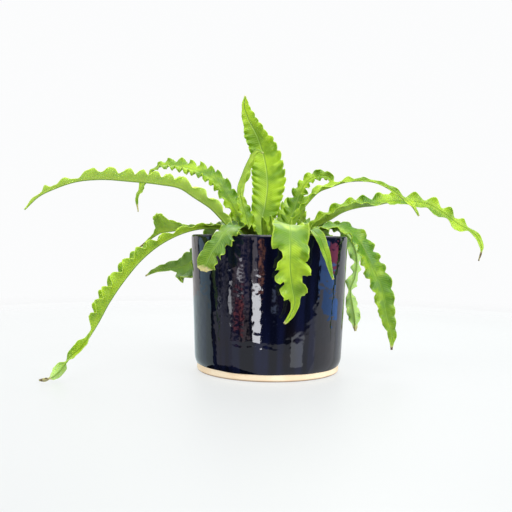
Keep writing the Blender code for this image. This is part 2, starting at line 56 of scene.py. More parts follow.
# The pot, in millimetres.
POT_HEIGHT = 120
RIM_RADIUS = 70
HEEL_RADIUS = 65.8
HEEL_HEIGHT = 14
GLAZE_RADIUS = 64
GLAZE_HEIGHT = 6.5
GLAZE_ROUND = 0.45
FOOT_RADIUS = 62
FOOT_CHAMFER = 1.5
WALL = 5
FLOOR = 8
FLOOR_CORNER = 6
INSIDE_TAPER = 20
LIP_ROUND = 2.2
POT_SEGMENTS = 224
AXIS_HOLE = 0.5

# The soil and the crown, in millimetres.
SOIL_TOP = 98
SOIL_RISE = 3
SOIL_EDGE = 63.7
SOIL_RINGS = 46
SOIL_SEGMENTS = 220
CROWN_RADIUS = 25
CROWN_HOLE = CROWN_RADIUS + 0.3
CROWN_SHOULDER = 100
CROWN_DOME = 11
CROWN_FLOOR = 88.3
CROWN_RINGS = 30
CROWN_SEGMENTS = 96
SCALES = 420
SCALE_WIDTHS = ((0, 0.7), (0.35, 1.0), (0.7, 0.6), (1, 0.08))  # shares of its length, and of its half width
GOLDEN_ANGLE = math.pi * (3 - math.sqrt(5))
LUMPS = ((14, 0.9), (6, 0.5), (2.6, 0.3))  # wave lengths and heights
WAVES = 5

# Loose bits on the soil: how many, their seed, their length, and the other sides as shares of it.
CHIPS = (260, 5, (2.5, 6), (0.35, 0.7))
PERLITE = (70, 7, (1.2, 2.6), (0.7, 1.0))
BIT_SIDES = 6
BIT_RINGS = 4

# The stalk, the shares of the way from its top to the tip over which the blade widens, thins and starts to
# wave, and how waves of one pitch wander, as in the frame.
STALK_HALF_WIDTH = 1.5
STALK_THICKNESS = 2.6
STALK_LENGTH = 10
WIDENING = 0.05
THINNING = 0.12
GROWING = 0.15
WANDER = 0.012
WANDERINGS = 2.3

# The finer build of a blade.
STATION_STEP = 0.75
STALK_STATIONS = 8
HALF_COLUMNS = (0.035, 0.08, 0.14, 0.22, 0.32, 0.43, 0.54, 0.65, 0.75, 0.84, 0.91, 0.96, 1.0)
COLUMNS = np.array([-a for a in reversed(HALF_COLUMNS)] + [0] + list(HALF_COLUMNS))
ENDING = (0.93, 0.07)  # where the last part of the way to an edge or a tip starts, and its length
UNEVEN = (0.75, 1.25)  # how waves and loose bits vary about their size
SWING_POWER = 2.4
RIPPLE = 0.2
RIPPLES = 2.7
# Half thicknesses, and widths and heights of the ridge below the rib, the groove above it and its shoulders.
EDGE_HALF = 0.28
BODY_HALF = 0.22
EDGE_THINNING = 0.45
STALK_EDGE_HALF = 0.06
RIDGE = 0.9
RIDGE_WANING = 0.75
GROOVE = 0.5
GROOVE_DEPTH = 0.2
SHOULDER = 1.1
SHOULDER_RISE = 0.1
# The side veins, and the lengths over which a tip withers and a blade turns pale.
VEIN_STEP = 2
VEIN_SLANT = 0.5
WITHERING = 4
BLEACHING = 0.15


class Frond(NamedTuple):
    """One frond, in millimetres and degrees. Its lists run from the top of the stalk to the tip: evenly
    spread values, or pairs of a share of the way, in thousandths, and a value. Of a pair for the two sides,
    the first is on the left of someone who looks from the foot to the tip along the upper face."""

    name: str
    rib: list  # x, y, z along the mid-rib, from the foot in its socket to the tip
    half: list  # half the width of the blade, or one list for each side
    fold: list  # how far each half of the blade is folded up from flat
    swing: float  # how far a wave swings the edge up and down, or one value for each side
    notch: float  # how deep the edge is cut between waves, as a share of the half width
    turn: list = [0]  # how far the blade is turned about its rib
    pitch: float = 12  # the length of one wave of the edge, where the crests aren't given
    crests: tuple = ()  # for each side, the thousandths of the way at which a wave has its crest
    lean: float = 2  # how far a point of the edge 10 mm from the rib is drawn towards the tip
    dry: float = 3  # the length of the withered tip
    browned: float = 1  # whether the withered tip is brown or only straw yellow
    bleached: float = 2  # the share beyond which the blade is pale, or over 1 where it isn't
    # The tone is partly each frond's own shade of green and partly painted light and shade: fronds that hang
    # in shade are darkened, backlit upper ones lightened.
    tone: float = 0  # from -2 for the darkest frond to 2 for the palest


FRONDS = [Frond(
    "frond_left_long",
    [(-12, 0, 102), (-26, -2, 118), (-40, -4, 131), (-53, -6, 144), (-67, -8, 153), (-80, -10, 161),
     (-97, -12, 164), (-123, -15, 166), (-149, -18, 167), (-171, -21, 164), (-187, -23, 158),
     (-200, -25, 151), (-212, -27, 139)],
    half=[(0, 3), (100, 6), (200, 10), (300, 11.5), (400, 10.5), (500, 11.5), (600, 11.5), (700, 11),
     (735, 9.5), (765, 3.6), (785, 3.6), (820, 6.8), (850, 4.5), (868, 3.2), (888, 6.5), (908, 3),
     (950, 2.6), (1000, 0.8)],
    fold=[30, 50, 52, 50, 50, 40], swing=15, notch=0.2, lean=-2, dry=0, tone=1.8,
    crests=((60, 140, 217, 295, 374, 418, 475, 526, 575, 646, 716, 803, 885, 955),
     (70, 150, 227, 307, 384, 432, 483, 534, 587, 655, 725, 810, 890, 955)),
), Frond(
    "frond_left_high",
    [(-10, 6, 102), (-19, 9, 117), (-27, 12, 132), (-37, 18, 152), (-48, 27, 168), (-62, 35, 178),
     (-77, 43, 183), (-92, 50, 187), (-105, 54, 187), (-114, 58, 183), (-119.5, 60, 174), (-126.5, 60, 164),
     (-130, 60, 154), (-129, 60, 142)],
    half=[(0, 3), (100, 7), (250, 9.5), (450, 10), (600, 9.5), (680, 7.5), (740, 5), (790, 3.5), (840, 6.5),
     (880, 5), (930, 2.2), (1000, 0.5)],
    fold=[25, 20, 15, 15], turn=[0, -35, -35, -35, -75], swing=22, notch=0.15, dry=7, browned=0.2, tone=0.1,
    crests=((50, 120, 190, 245, 300, 345, 385, 430, 475, 515, 555, 600, 649, 700, 760, 840, 920),
     (60, 130, 200, 270, 335, 400, 440, 490, 553, 610, 672, 722, 780, 850, 930)),
), Frond(
    "frond_centre_tall",
    [(-1, 8, 103), (-5, 12, 116), (-7, 16, 131), (-4, 20, 148), (-2, 23, 168), (-4, 26, 186), (-8, 27, 201),
     (-13, 24, 214), (-21, 20, 228), (-25, 16, 240), (-24, 14, 248)],
    half=([(0, 2), (90, 9), (200, 13.5), (300, 15), (400, 16), (530, 15), (637, 12.5), (735, 12.5),
     (850, 6.5), (942, 2.5), (1000, 1)],
     [(0, 2), (90, 9), (200, 14), (300, 16), (400, 18), (530, 17), (637, 14.8), (735, 9.5), (850, 7.5),
     (942, 5), (1000, 1)]),
    fold=[20, 12, 10, 10], turn=[0, 0, 0, 10], pitch=7.5, swing=9, notch=0.16, dry=1, browned=0.2, tone=0.7,
), Frond(
    "frond_young_hook",
    [(-5, 1, 103), (-12, 3, 116), (-19, 4, 131), (-25, 5, 147), (-29, 6, 161), (-25, 5, 175), (-21, 3, 185),
     (-17, 0, 192), (-12, -5, 196), (-7, -9, 193)],
    half=[2, 3.4, 4, 4.2, 4.6, 6.8, 7.2, 6, 4, 1],
    fold=[30, 45, 50, 40], pitch=14, swing=10, notch=0.05, tone=1.2, dry=1,
), Frond(
    "frond_right_inner",
    [(5, 6, 103), (12, 11, 117), (19, 15, 133), (24, 20, 146), (28, 24, 158), (32, 26, 167), (37, 27, 173),
     (43, 27, 176), (50, 26, 177), (56, 24, 175), (58, 22, 169)],
    half=[2, 7, 10, 11, 11, 10.5, 9, 7, 7, 6.5, 5, 2],
    fold=[20, 15, 20, 25], turn=[0, 10, 20, 40], pitch=9, swing=28, notch=0.22, dry=1, tone=-0.1,
), Frond(
    "frond_right_slim",
    [(10, -5, 102), (16, -5, 117), (22, -4, 131), (28, -4, 143), (35, -5, 152), (43, -7, 160),
     (53, -10, 164), (65, -15, 168), (78, -20, 169), (91, -25, 167), (102, -30, 161), (112, -34, 153),
     (119, -37, 147), (125, -39, 138)],
    half=[(0, 3), (100, 6), (280, 7.5), (360, 7), (440, 5.5), (485, 2), (535, 5), (575, 1.8), (620, 3.6),
     (665, 1.6), (740, 2.6), (810, 4), (870, 2.4), (920, 4), (970, 2), (1000, 0.8)],
    fold=[25, 25, 30, 30], turn=[0, 20, 35, 20], pitch=15, swing=15, notch=0.05, dry=1, tone=0.6,
), Frond(
    "frond_right_long",
    [(18, 4, 99), (30, 6, 116), (44, 8, 130), (55, 10, 136), (69, 12, 144), (83, 15, 148), (98, 17, 150),
     (111, 19, 153), (125, 20, 154), (138, 20, 153), (150, 19, 150), (161, 16, 143), (175, 12, 132),
     (184, 9, 127), (189, 6, 121), (192, 3, 112), (189, 0, 100)],
    half=([(0, 3), (80, 7), (150, 8), (185, 11), (215, 7.5), (250, 11), (285, 8), (320, 10.5), (345, 8.5),
     (370, 10.5), (410, 7), (445, 11), (485, 8.5), (515, 10.5), (545, 4), (590, 9.5), (628, 3.5), (665, 9),
     (700, 3.5), (735, 8.5), (770, 3.5), (810, 7.5), (840, 2), (885, 3.5), (930, 3), (960, 1), (1000, 0.5)],
     [(0, 3), (80, 7), (200, 9), (250, 10), (320, 10), (370, 10), (445, 10), (500, 8), (555, 4), (610, 7.5),
     (645, 4), (700, 8.5), (745, 3), (815, 8.5), (850, 1.5), (890, 2.5), (930, 2.5), (960, 1), (1000, 0.5)]),
    fold=[30, 50, 50, 35, 15, 10, 10, 20], turn=[0, 10, 20, 35, 60, 65, 60, 40], swing=(15, 7), notch=0,
    lean=-1.5, dry=9, tone=-0.1,
    crests=((60, 120, 185, 250, 320, 370, 445, 515, 590, 665, 735, 810, 890, 970),
     (60, 120, 185, 250, 320, 370, 445, 515, 610, 700, 755, 815, 900, 970)),
), Frond(
    "frond_right_droop",
    [(19, -8, 98), (28, -10, 112), (38, -12, 122), (49, -14, 127), (60, -16, 127), (70, -17, 124),
     (79, -18, 115), (85, -19, 103), (90, -20, 92), (96, -22, 80), (100, -23, 65), (103, -24, 50),
     (107, -24, 36), (107, -24, 22)],
    half=[3, 6, 8, 9, 10.5, 11, 11.5, 11, 9.5, 7.5, 4.5, 1],
    fold=[20, 15, 12, 10], turn=[0, 15, 40, 60, 70, 70], swing=15, notch=0.12, dry=4, tone=-0.8,
), Frond(
    "frond_right_twisted",
    [(16, 11, 99), (27, 18, 114), (39, 23, 125), (53, 25, 130), (66, 25, 127), (76, 24, 118), (81, 22, 107),
     (82, 20, 94), (80, 18, 83), (76, 17, 71), (78, 16, 57), (80, 15, 46), (81, 14, 33)],
    half=[(0, 3), (150, 6), (350, 7), (450, 8), (540, 7), (585, 2.5), (615, 6), (650, 2.5), (700, 7.5),
     (760, 2), (800, 5), (860, 7), (920, 6), (970, 2.5), (1000, 1)],
    fold=[20, 15, 15], turn=[0, 0, -90, -110, -80], pitch=14, swing=24, notch=0.1, dry=5, browned=0.2,
    tone=-0.5, bleached=0.3,
), Frond(
    "frond_front_broad",
    [(6, -18, 99), (10, -26, 112), (13, -36, 124), (15, -49, 128), (15, -63, 127), (15, -75, 120),
     (15, -81, 107), (15, -82, 93), (17, -81, 79), (19, -80, 66), (16, -79, 57), (11, -79, 50)],
    half=([(0, 2), (80, 7), (200, 12), (300, 13.5), (370, 15.7), (460, 14.8), (485, 13.6), (522, 15.1),
     (552, 15.4), (580, 13.9), (597, 12.1), (606, 15.1), (620, 17.2), (645, 16.9), (685, 13.9), (694, 10),
     (705, 9), (738, 8.3), (744, 11), (758, 12.3), (790, 11.3), (820, 8.6), (828, 5.5), (846, 4.2), (925, 3),
     (977, 2), (1000, 1)],
     [(0, 2), (80, 7), (200, 12), (300, 14.5), (360, 15), (410, 15.7), (490, 15.4), (518, 14.4), (530, 9.5),
     (570, 7), (600, 7), (610, 12.3), (630, 13.2), (648, 12), (655, 8.5), (665, 8.5), (675, 12.6),
     (695, 13.6), (710, 12.6), (720, 6.8), (742, 5.8), (756, 10.4), (790, 11.2), (820, 9), (832, 4.6),
     (865, 3.2), (934, 1.8), (1000, 0.8)]),
    fold=[15, 8, 12, 15], swing=17, notch=0, lean=2.5, dry=2, tone=0.3,
    crests=((200, 380, 550, 630, 760, 900),
     (200, 420, 620, 710, 790, 900)),
), Frond(
    "frond_front_left_blunt",
    [(-8, -15, 99), (-13, -22, 113), (-20, -31, 123), (-27, -43, 126), (-33, -55, 125), (-38, -63, 120),
     (-42.5, -69.5, 112), (-47, -72, 106), (-50, -73, 100), (-52, -74, 95), (-53, -74, 90)],
    half=([(0, 2), (150, 7), (300, 10), (390, 12.5), (420, 13), (450, 7.5), (490, 7), (520, 14), (575, 15),
     (590, 8), (610, 7.5), (635, 13), (690, 13.5), (705, 7), (725, 6.5), (750, 12), (800, 12), (815, 5.5),
     (835, 5), (860, 10), (920, 9.5), (960, 7), (1000, 3)],
     [(0, 2), (150, 6), (300, 8), (500, 7), (600, 6.8), (700, 7.8), (800, 8), (900, 8), (960, 6.5),
     (1000, 3)]),
    fold=[15, 10, 10], turn=[0, -12, -25], swing=12, notch=0, lean=3.5, dry=4, browned=0.1, tone=-1.4,
    crests=((150, 280, 410, 550, 665, 775, 890),
     (100, 250, 400, 520, 640, 760, 880)),
), Frond(
    "frond_front_right_small",
    [(13, -16, 99), (20.5, -20, 112), (27, -28, 120), (32, -41, 123.5), (35, -54, 123.5), (39, -62.5, 118.5),
     (42, -67, 110), (45, -68.5, 102), (47, -69.5, 94), (50, -71, 85)],
    half=[2, 4.5, 5, 5, 5, 4.5, 2.8, 1],
    fold=[20, 25, 25], turn=[0, 15, 15], pitch=20, swing=7, notch=0.03, lean=0, dry=1, browned=0.3,
    tone=-0.8,
), Frond(
    "frond_left_floor",
    [(-18, -4, 99), (-30, -7, 115), (-43, -10, 125), (-55, -13, 126), (-68, -19, 124), (-79, -24, 120),
     (-96, -31, 110), (-109, -38, 98), (-121, -46, 82), (-133, -54, 62), (-141, -60, 45), (-152, -66, 27),
     (-161, -70, 18), (-165, -72, 12), (-170, -75, 6), (-176, -79, 3), (-181, -82, 3)],
    half=[(0, 3), (100, 5), (200, 6), (300, 7), (380, 9), (450, 11.5), (550, 12.5), (650, 12.5), (715, 11),
     (755, 2.2), (780, 3), (820, 6.5), (860, 5), (885, 1.6), (910, 5.5), (935, 6), (952, 3.5), (965, 1),
     (980, 2), (1000, 0.8)],
    fold=[20, 25, 35, 50, 55, 55, 35, 10],
    turn=[(0, 0), (740, 0), (800, -60), (865, -60), (910, 80), (1000, 80)], swing=16, notch=0.28, lean=-2.5,
    dry=9, tone=0.2, bleached=0.84,
    crests=((60, 130, 200, 270, 340, 400, 452, 510, 575, 630, 675, 725, 830, 930),
     (60, 130, 200, 270, 340, 400, 462, 520, 583, 638, 683, 730, 830, 930)),
), Frond(
    "frond_left_back",
    [(-17, 8, 99), (-28, 12, 115), (-40, 16, 125), (-54, 20, 128), (-67, 25, 126), (-81, 31, 125),
     (-94, 38, 123), (-105, 43, 121), (-115, 46, 115), (-125, 49, 107), (-135, 52, 99)],
    half=([(0, 3), (200, 4), (350, 4), (430, 6), (470, 5), (530, 8), (560, 13), (585, 18), (620, 20),
     (650, 20), (680, 18), (705, 13), (725, 6), (760, 3), (800, 2.5), (850, 1.5), (1000, 0.7)],
     [(0, 3), (200, 4), (350, 4), (450, 5), (550, 6), (620, 9), (660, 9), (690, 7), (720, 3.5), (780, 2.5),
     (850, 1.5), (1000, 0.7)]),
    fold=[(0, 20), (400, 35), (560, 55), (660, 68), (740, 60), (800, 20), (1000, 10)], swing=6, notch=0,
    lean=1.5, dry=22, tone=0.3,
    crests=((100, 220, 330, 430, 530, 605, 660, 710, 800),
     (100, 220, 330, 430, 530, 620, 700, 800)),
), Frond(
    "frond_left_low",
    [(-13, 15, 99), (-23, 21, 115), (-33, 31, 127), (-43, 45, 130), (-51, 57, 127), (-59, 67, 115),
     (-66, 74, 102), (-76, 80, 93), (-87, 85, 87), (-101, 88, 85), (-115, 90, 82), (-126, 91, 77)],
    half=([(0, 3), (200, 8), (400, 11), (520, 17), (600, 24), (660, 31), (700, 30), (745, 23), (765, 18),
     (780, 7), (820, 4.5), (880, 3), (1000, 0.8)],
     [(0, 3), (200, 7), (400, 9), (550, 10), (660, 14), (690, 15), (720, 12), (750, 12.5), (790, 8),
     (830, 9), (870, 5.5), (900, 6), (940, 3.5), (1000, 0.8)]),
    fold=[20, 25, 20, 20], turn=[0, -10, -70, -75], pitch=14, swing=9, notch=0.08, lean=0.3, tone=-1.6,
), Frond(
    "frond_inner_left",
    [(-7, -5, 103), (-13, -5, 116), (-19, -5, 128), (-22, -4, 138), (-25, -3, 147), (-27, -2, 156)],
    half=[(0, 2), (250, 6), (500, 7.5), (750, 6.5), (920, 4), (1000, 1.5)],
    fold=[20, 15], turn=[0, -60, -70], pitch=9, swing=20, notch=0.2, dry=0, tone=0.1,
), Frond(
    "frond_bud_left",
    [(-1, -7, 103), (-4, -9, 113), (-6, -12, 122), (-7, -15, 131), (-7, -19, 136)],
    half=[2, 4, 5, 4, 1],
    fold=[40, 50], pitch=9, swing=12, notch=0.08, dry=0, tone=0.7,
), Frond(
    "frond_bud_right",
    [(5, -9, 103), (4, -13, 113), (3, -17, 122), (1, -21, 131), (0, -25, 137)],
    half=[2, 4, 5, 4, 1],
    fold=[40, 50], pitch=9, swing=12, notch=0.08, dry=0, tone=0.7,
), Frond(
    "frond_back_left",
    [(-5, 19, 99), (-13, 29, 115), (-21.5, 42, 131), (-29, 57, 137), (-36, 71, 131), (-41, 83, 115),
     (-44, 90, 96), (-46, 93, 76), (-47, 94, 58)],
    half=[2, 7, 9, 10, 9, 8, 7, 5, 1],
    fold=[20, 20, 15], turn=[0, 10, 0], swing=24, notch=0.18,
), Frond(
    "frond_back_middle",
    [(3, 20, 99), (1, 31, 115), (-3, 45, 134), (-7, 60, 140), (-9, 76, 132), (-10, 87, 116), (-9, 93, 94),
     (-7, 95, 71), (-2, 95, 48)],
    half=[2, 8, 10, 11, 11, 10, 8, 6, 1],
    fold=[20, 15, 15], turn=[0, -5, 5], swing=24, notch=0.18, tone=0.2,
), Frond(
    "frond_back_right",
    [(9, 17, 99), (20, 27, 115), (31, 38, 127), (42, 50, 132), (52, 62, 128), (59, 72, 115), (62, 78, 98),
     (64, 81, 79)],
    half=[2, 6, 8, 8, 8, 7, 5, 1],
    fold=[20, 20, 20], turn=[0, 10, 10], swing=26, notch=0.18, tone=-0.3,
), Frond(
    "frond_back_inner",
    [(4, 14, 103), (8, 23, 115), (13, 34, 131), (18, 46, 145), (23, 58, 152), (29, 70, 148), (33, 81, 138),
     (37, 89, 122)],
    half=[2, 7, 9, 9, 9, 8, 6, 1],
    fold=[20, 20, 20], pitch=10, swing=24, notch=0.18, tone=0.3,
)]


# Meshes


def add_object(name, data, place=(0, 0, 0), rotation=None):
    thing = bpy.data.objects.new(name, data)
    thing.location = place
    if rotation:
        thing.rotation_mode = "QUATERNION"
        thing.rotation_quaternion = rotation
    bpy.context.scene.collection.objects.link(thing)
    return thing


def link_mesh(name, points, faces, material, smooth=True):
    """A mesh object from points in metres."""
    mesh = bpy.data.meshes.new(name)
    mesh.from_pydata(points.reshape(-1, 3).tolist(), [], faces)
    mesh.materials.append(material)
    if smooth:
        mesh.shade_smooth()
    return add_object(name, mesh)


def set_attribute(mesh, name, values):
    layer = mesh.attributes.new(name, "FLOAT", "POINT")
    layer.data.foreach_set("value", np.asarray(values, np.float32).ravel())


def grid_faces(rows, columns, first=0, closed=False):
    """The quads of a grid whose points are numbered row by row. A closed one joins its last column to its
    first."""
    return [
        (first + i * columns + j, first + i * columns + (j + 1) % columns,
         first + (i + 1) * columns + (j + 1) % columns, first + (i + 1) * columns + j)
        for i in range(rows - 1)
        for j in range(columns if closed else columns - 1)
    ]


def capped_faces(rows, columns, first=0):
    """The quads of a closed grid, and a cap at each end. They face out where the rows rise."""
    last = first + (rows - 1) * columns
    caps = [tuple(range(first, first + columns))[::-1], tuple(range(last, last + columns))]
    return grid_faces(rows, columns, first, closed=True) + caps


def flipped(faces):
    return [face[::-1] for face in faces]


def smoothstep(value, start=0, width=1):
    """0 up to the start, then eased up to 1 over the width."""
    t = np.clip((value - start) / width, 0, 1)
    return t * t * (3 - 2 * t)


def hump(value, width, centre=0):
    return np.exp(-(((value - centre) / width) ** 2))


def unit(vectors):
    return vectors / np.linalg.norm(vectors, axis=-1, keepdims=True)


# Fronds


def smooth_path(points):
    """Points about every millimetre along one smooth curve through the points."""
    points = np.array(points, float)
    steps = np.diff(points, axis=0)
    spans = np.linalg.norm(steps, axis=1)[:, None]
    slopes = steps / spans
    inner = (slopes[:-1] * spans[1:] + slopes[1:] * spans[:-1]) / (spans[:-1] + spans[1:])
    tangents = np.vstack([slopes[:1], inner, slopes[-1:]])
    path = [points[:1]]
    for i, span in enumerate(spans[:, 0]):
        count = max(1, round(span))
        t = (np.arange(1, count + 1) / count)[:, None]
        start = points[i] * (1 + 2 * t) * (1 - t) ** 2 + tangents[i] * span * t * (1 - t) ** 2
        end = points[i + 1] * t * t * (3 - 2 * t) + tangents[i + 1] * span * t * t * (t - 1)
        path.append(start + end)
    return np.vstack(path)


def along(values, share):
    """The values of a list at these shares of the way, eased from one to the next."""
    values = np.asarray(values, float)
    if len(values) == 1:
        return np.full(share.shape, values.flat[-1])
    if values.ndim == 2:
        places, values = values[:, 0] / 1000, values[:, 1]
    else:
        places = np.linspace(0, 1, len(values))
    index = np.clip(np.searchsorted(places, share, side="right") - 1, 0, len(places) - 2)
    ease = smoothstep(share, places[index], places[index + 1] - places[index])
    return values[index] + (values[index + 1] - values[index]) * ease


class Rib:
    """A frond's mid-rib: its places, its direction, and the side that the blade's upper face is on."""

    def __init__(self, points):
        self.places = smooth_path(points)
        steps = np.diff(self.places, axis=0)
        spans = np.linalg.norm(steps, axis=1)
        self.lengths = np.concatenate([[0], np.cumsum(spans)])
        self.length = self.lengths[-1]
        self.aims = unit(np.vstack([steps, steps[-1:]]))
        up = self.places[0] - self.places[len(self.places) // 2]
        up[2] = 0
        ups = []
        for aim in self.aims:
            up = unit(up - aim * up.dot(aim))
            ups.append(up)
        self.ups = np.array(ups)

    def at(self, distances):
        """The places, directions and upper sides at these distances from the foot."""
        place, aim, up = (
            np.stack([np.interp(distances, self.lengths, rows[:, k]) for k in range(3)], axis=1)
            for rows in (self.places, self.aims, self.ups)
        )
        aim = unit(aim)
        return place, aim, unit(up - aim * (up * aim).sum(axis=1, keepdims=True))


def of_side(value, side):
    return value[side > 0] if isinstance(value, tuple) else value


def beats(frond, side, share, length):
    """How many waves of the edge lie between the top of the stalk and each share, on one side."""
    if frond.crests:
        crests = np.array(of_side(frond.crests, side)) / 1000
        first, last = 2 * crests[0] - crests[1], 2 * crests[-1] - crests[-2]
        return np.interp(share, [first, *crests, last], np.arange(len(crests) + 2))
    waves = round(length / frond.pitch)
    wander = WANDER * np.sin(math.pi * share) * np.sin(TURN * WANDERINGS * share + frond.pitch)
    return waves * (share + wander) + (0.5 if side > 0 else 0)


def blade_surface(frond, rib, share, draw):
    """The middle surface of a frond as rows of points, with each point's distance from the rib."""
    length = rib.length - STALK_LENGTH
    distance = np.where(share > 0, STALK_LENGTH + length * share, STALK_LENGTH * (1 + share))
    place, aim, up = rib.at(distance)
    turn = np.radians(along(frond.turn, share))[:, None]
    up = up * np.cos(turn) + np.cross(aim, up) * np.sin(turn)
    grown = np.clip(share / GROWING, 0, 1)
    waning = 1 - smoothstep(share, *ENDING)
    surface = np.empty((len(share), len(COLUMNS), 3))
    offset = np.empty((len(share), len(COLUMNS)))
    for side in (-1, 1):
        most = of_side(frond.swing, side)
        beat = beats(frond, side, share, length)
        cut = frond.notch * grown * (1 - np.abs(np.cos(math.pi * beat)))
        reach = along(of_side(frond.half, side), share) * (1 - cut)
        reach = STALK_HALF_WIDTH + (reach - STALK_HALF_WIDTH) * smoothstep(share, 0, WIDENING)
        uneven = along(draw.uniform(*UNEVEN, 2 + int(max(beat))), share)
        shift = draw.uniform(0, TURN)
        across = np.cross(aim, up) * side
        for column, a in enumerate(COLUMNS * side):
            if a < 0 or (a == 0 and side > 0):
                continue
            swing = most * uneven * a**SWING_POWER * np.cos(TURN * beat)
            ripple = RIPPLE * most * a**3 * np.sin(TURN * RIPPLES * beat + shift)
            lift = np.radians(along(frond.fold, share) + swing + ripple) * grown
            out = (reach * a)[:, None]
            lean = (frond.lean * (reach * a / 10) ** 2 * waning)[:, None]
            flat = across * np.cos(lift)[:, None] + up * np.sin(lift)[:, None]
            surface[:, column] = place + flat * out + aim * lean
            offset[:, column] = reach * a
    return surface, offset, distance


def half_thickness(share, offset):
    """How far the upper and the lower face stand from the middle surface."""
    a = np.abs(COLUMNS)[None, :]
    share = share[:, None]
    margin = EDGE_HALF + BODY_HALF * (1 - a) ** 1.5
    margin = margin * (1 - EDGE_THINNING * smoothstep(a, *ENDING))
    ridge = hump(offset, RIDGE) * (1 - RIDGE_WANING * np.clip(share, 0, 1))
    groove = hump(offset, GROOVE) * GROOVE_DEPTH - hump(offset, GROOVE, SHOULDER) * SHOULDER_RISE
    stalk = STALK_THICKNESS / 2 * np.sqrt(1 - a * a) + STALK_EDGE_HALF
    thinned = smoothstep(share, 0, THINNING)
    return stalk + (margin - groove - stalk) * thinned, stalk + (margin + ridge - stalk) * thinned


def make_frond(frond, seed, material):
    """A waved blade on its stalk, with an upper face, a lower face with a raised rib, and a rounded edge."""
    draw = np.random.default_rng(seed)
    rib = Rib(frond.rib)
    stations = round((rib.length - STALK_LENGTH) / STATION_STEP) + 1
    stalk = np.linspace(-1, 0, STALK_STATIONS, endpoint=False)
    share = np.concatenate([stalk, np.linspace(0, 1, stations)])
    surface, offset, distance = blade_surface(frond, rib, share, draw)
    normal = unit(np.cross(np.gradient(surface, axis=1), np.gradient(surface, axis=0)))
    upper, lower = half_thickness(share, offset)
    both = [surface + normal * upper[:, :, None], surface - normal * lower[:, :, None]]
    rows, columns = offset.shape
    count = rows * columns
    faces = flipped(grid_faces(rows, columns)) + grid_faces(rows, columns, first=count)
    for i in range(rows - 1):
        left, right = i * columns, i * columns + columns - 1
        faces.append((left, left + count, left + columns + count, left + columns))
        faces.append((right, right + columns, right + columns + count, right + count))
    for j in range(columns - 1):
        last = (rows - 1) * columns + j
        faces.append((j, j + 1, j + 1 + count, j + count))
        faces.append((last, last + count, last + 1 + count, last + 1))
    piece = link_mesh(frond.name + "_leaf", np.concatenate(both) * MM, faces, material)
    from_tip = (rib.length - distance)[:, None]
    attributes = {
        "vein": distance[:, None] - VEIN_SLANT * offset,
        "offset": offset,
        "edge": np.abs(COLUMNS)[None, :],
        "along": share[:, None],
        "withered": smoothstep((frond.dry - from_tip) / WITHERING + 0.5) if frond.dry else 0,
        # The tone carries painted shade and painted light as well as the frond's own shade of green.
        "tone": frond.tone,
        "browned": frond.browned,
        "bleached": smoothstep(share[:, None], frond.bleached, BLEACHING),
    }
    for name, values in attributes.items():
        set_attribute(piece.data, name, np.tile(np.broadcast_to(values, offset.shape).ravel(), 2))
    set_attribute(piece.data, "under", np.repeat([0, 1], count))
    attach(piece, "root")
    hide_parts(frond.name)


# Pot, soil and crown


def arc(centre, radius, start, end, count):
    angles = np.radians(np.linspace(start, end, count + 1))
    return np.stack([centre[0] + radius * np.cos(angles), centre[1] + radius * np.sin(angles)], axis=1)


def line(start, end, count):
    """Points from the start up to, but not with, the end."""
    t = np.linspace(0, 1, count, endpoint=False)[:, None]
    return np.array(start) * (1 - t) + np.array(end) * t


def bend(start, middle, end, count):
    """Points of a curve that leaves the start towards the middle point and comes to the end from it."""
    t = np.linspace(0, 1, count, endpoint=False)[:, None]
    return np.array(start) * (1 - t) ** 2 + np.array(middle) * 2 * t * (1 - t) + np.array(end) * t * t


def turned_points(profile, segments, shift=None):
    """Points round the axis for each (radius, height) of the profile, row by row."""
    angle = np.arange(segments) * TURN / segments
    radius = np.repeat(profile[:, :1], segments, axis=1)
    height = np.repeat(profile[:, 1:], segments, axis=1)
    if shift:
        radius, height = shift(radius, height, angle[None, :])
    return np.stack([radius * np.cos(angle), radius * np.sin(angle), height], axis=2)


def pot_profile():
    """(radius, height) from the middle of the floor inside, over the lip, down the wall and under the foot,
    and the number of its points that are glazed."""
    lip = POT_HEIGHT - LIP_ROUND
    corner = (HEEL_RADIUS - WALL - FLOOR_CORNER, FLOOR + FLOOR_CORNER)
    foot_edge = (FOOT_RADIUS + 1.4, FOOT_CHAMFER)
    glazed = np.vstack([
        line((AXIS_HOLE, FLOOR), (corner[0], FLOOR), 4),
        arc(corner, FLOOR_CORNER, -90, 0, 5),
        line((HEEL_RADIUS - WALL, INSIDE_TAPER), (RIM_RADIUS - WALL, lip), 12),
        arc((RIM_RADIUS - WALL + LIP_ROUND, lip), LIP_ROUND, 180, 90, 7),
        arc((RIM_RADIUS - LIP_ROUND, lip), LIP_ROUND, 90, 0, 7),
        line((RIM_RADIUS, lip - 1), (HEEL_RADIUS, HEEL_HEIGHT), 80),
        bend((HEEL_RADIUS, HEEL_HEIGHT), (HEEL_RADIUS - 0.2, 9.5), (GLAZE_RADIUS, GLAZE_HEIGHT), 14),
        arc((GLAZE_RADIUS - GLAZE_ROUND, GLAZE_HEIGHT), GLAZE_ROUND, 0, -80, 3),
    ])
    foot = [
        line((GLAZE_RADIUS - 0.5, GLAZE_HEIGHT - 0.5), foot_edge, 6),
        bend(foot_edge, (FOOT_RADIUS + 0.9, 0), (FOOT_RADIUS, 0), 4),
        line((FOOT_RADIUS, 0), (0, 0), 8),
        np.array([[AXIS_HOLE, 0]]),
    ]
    return np.vstack([glazed] + foot), len(glazed)


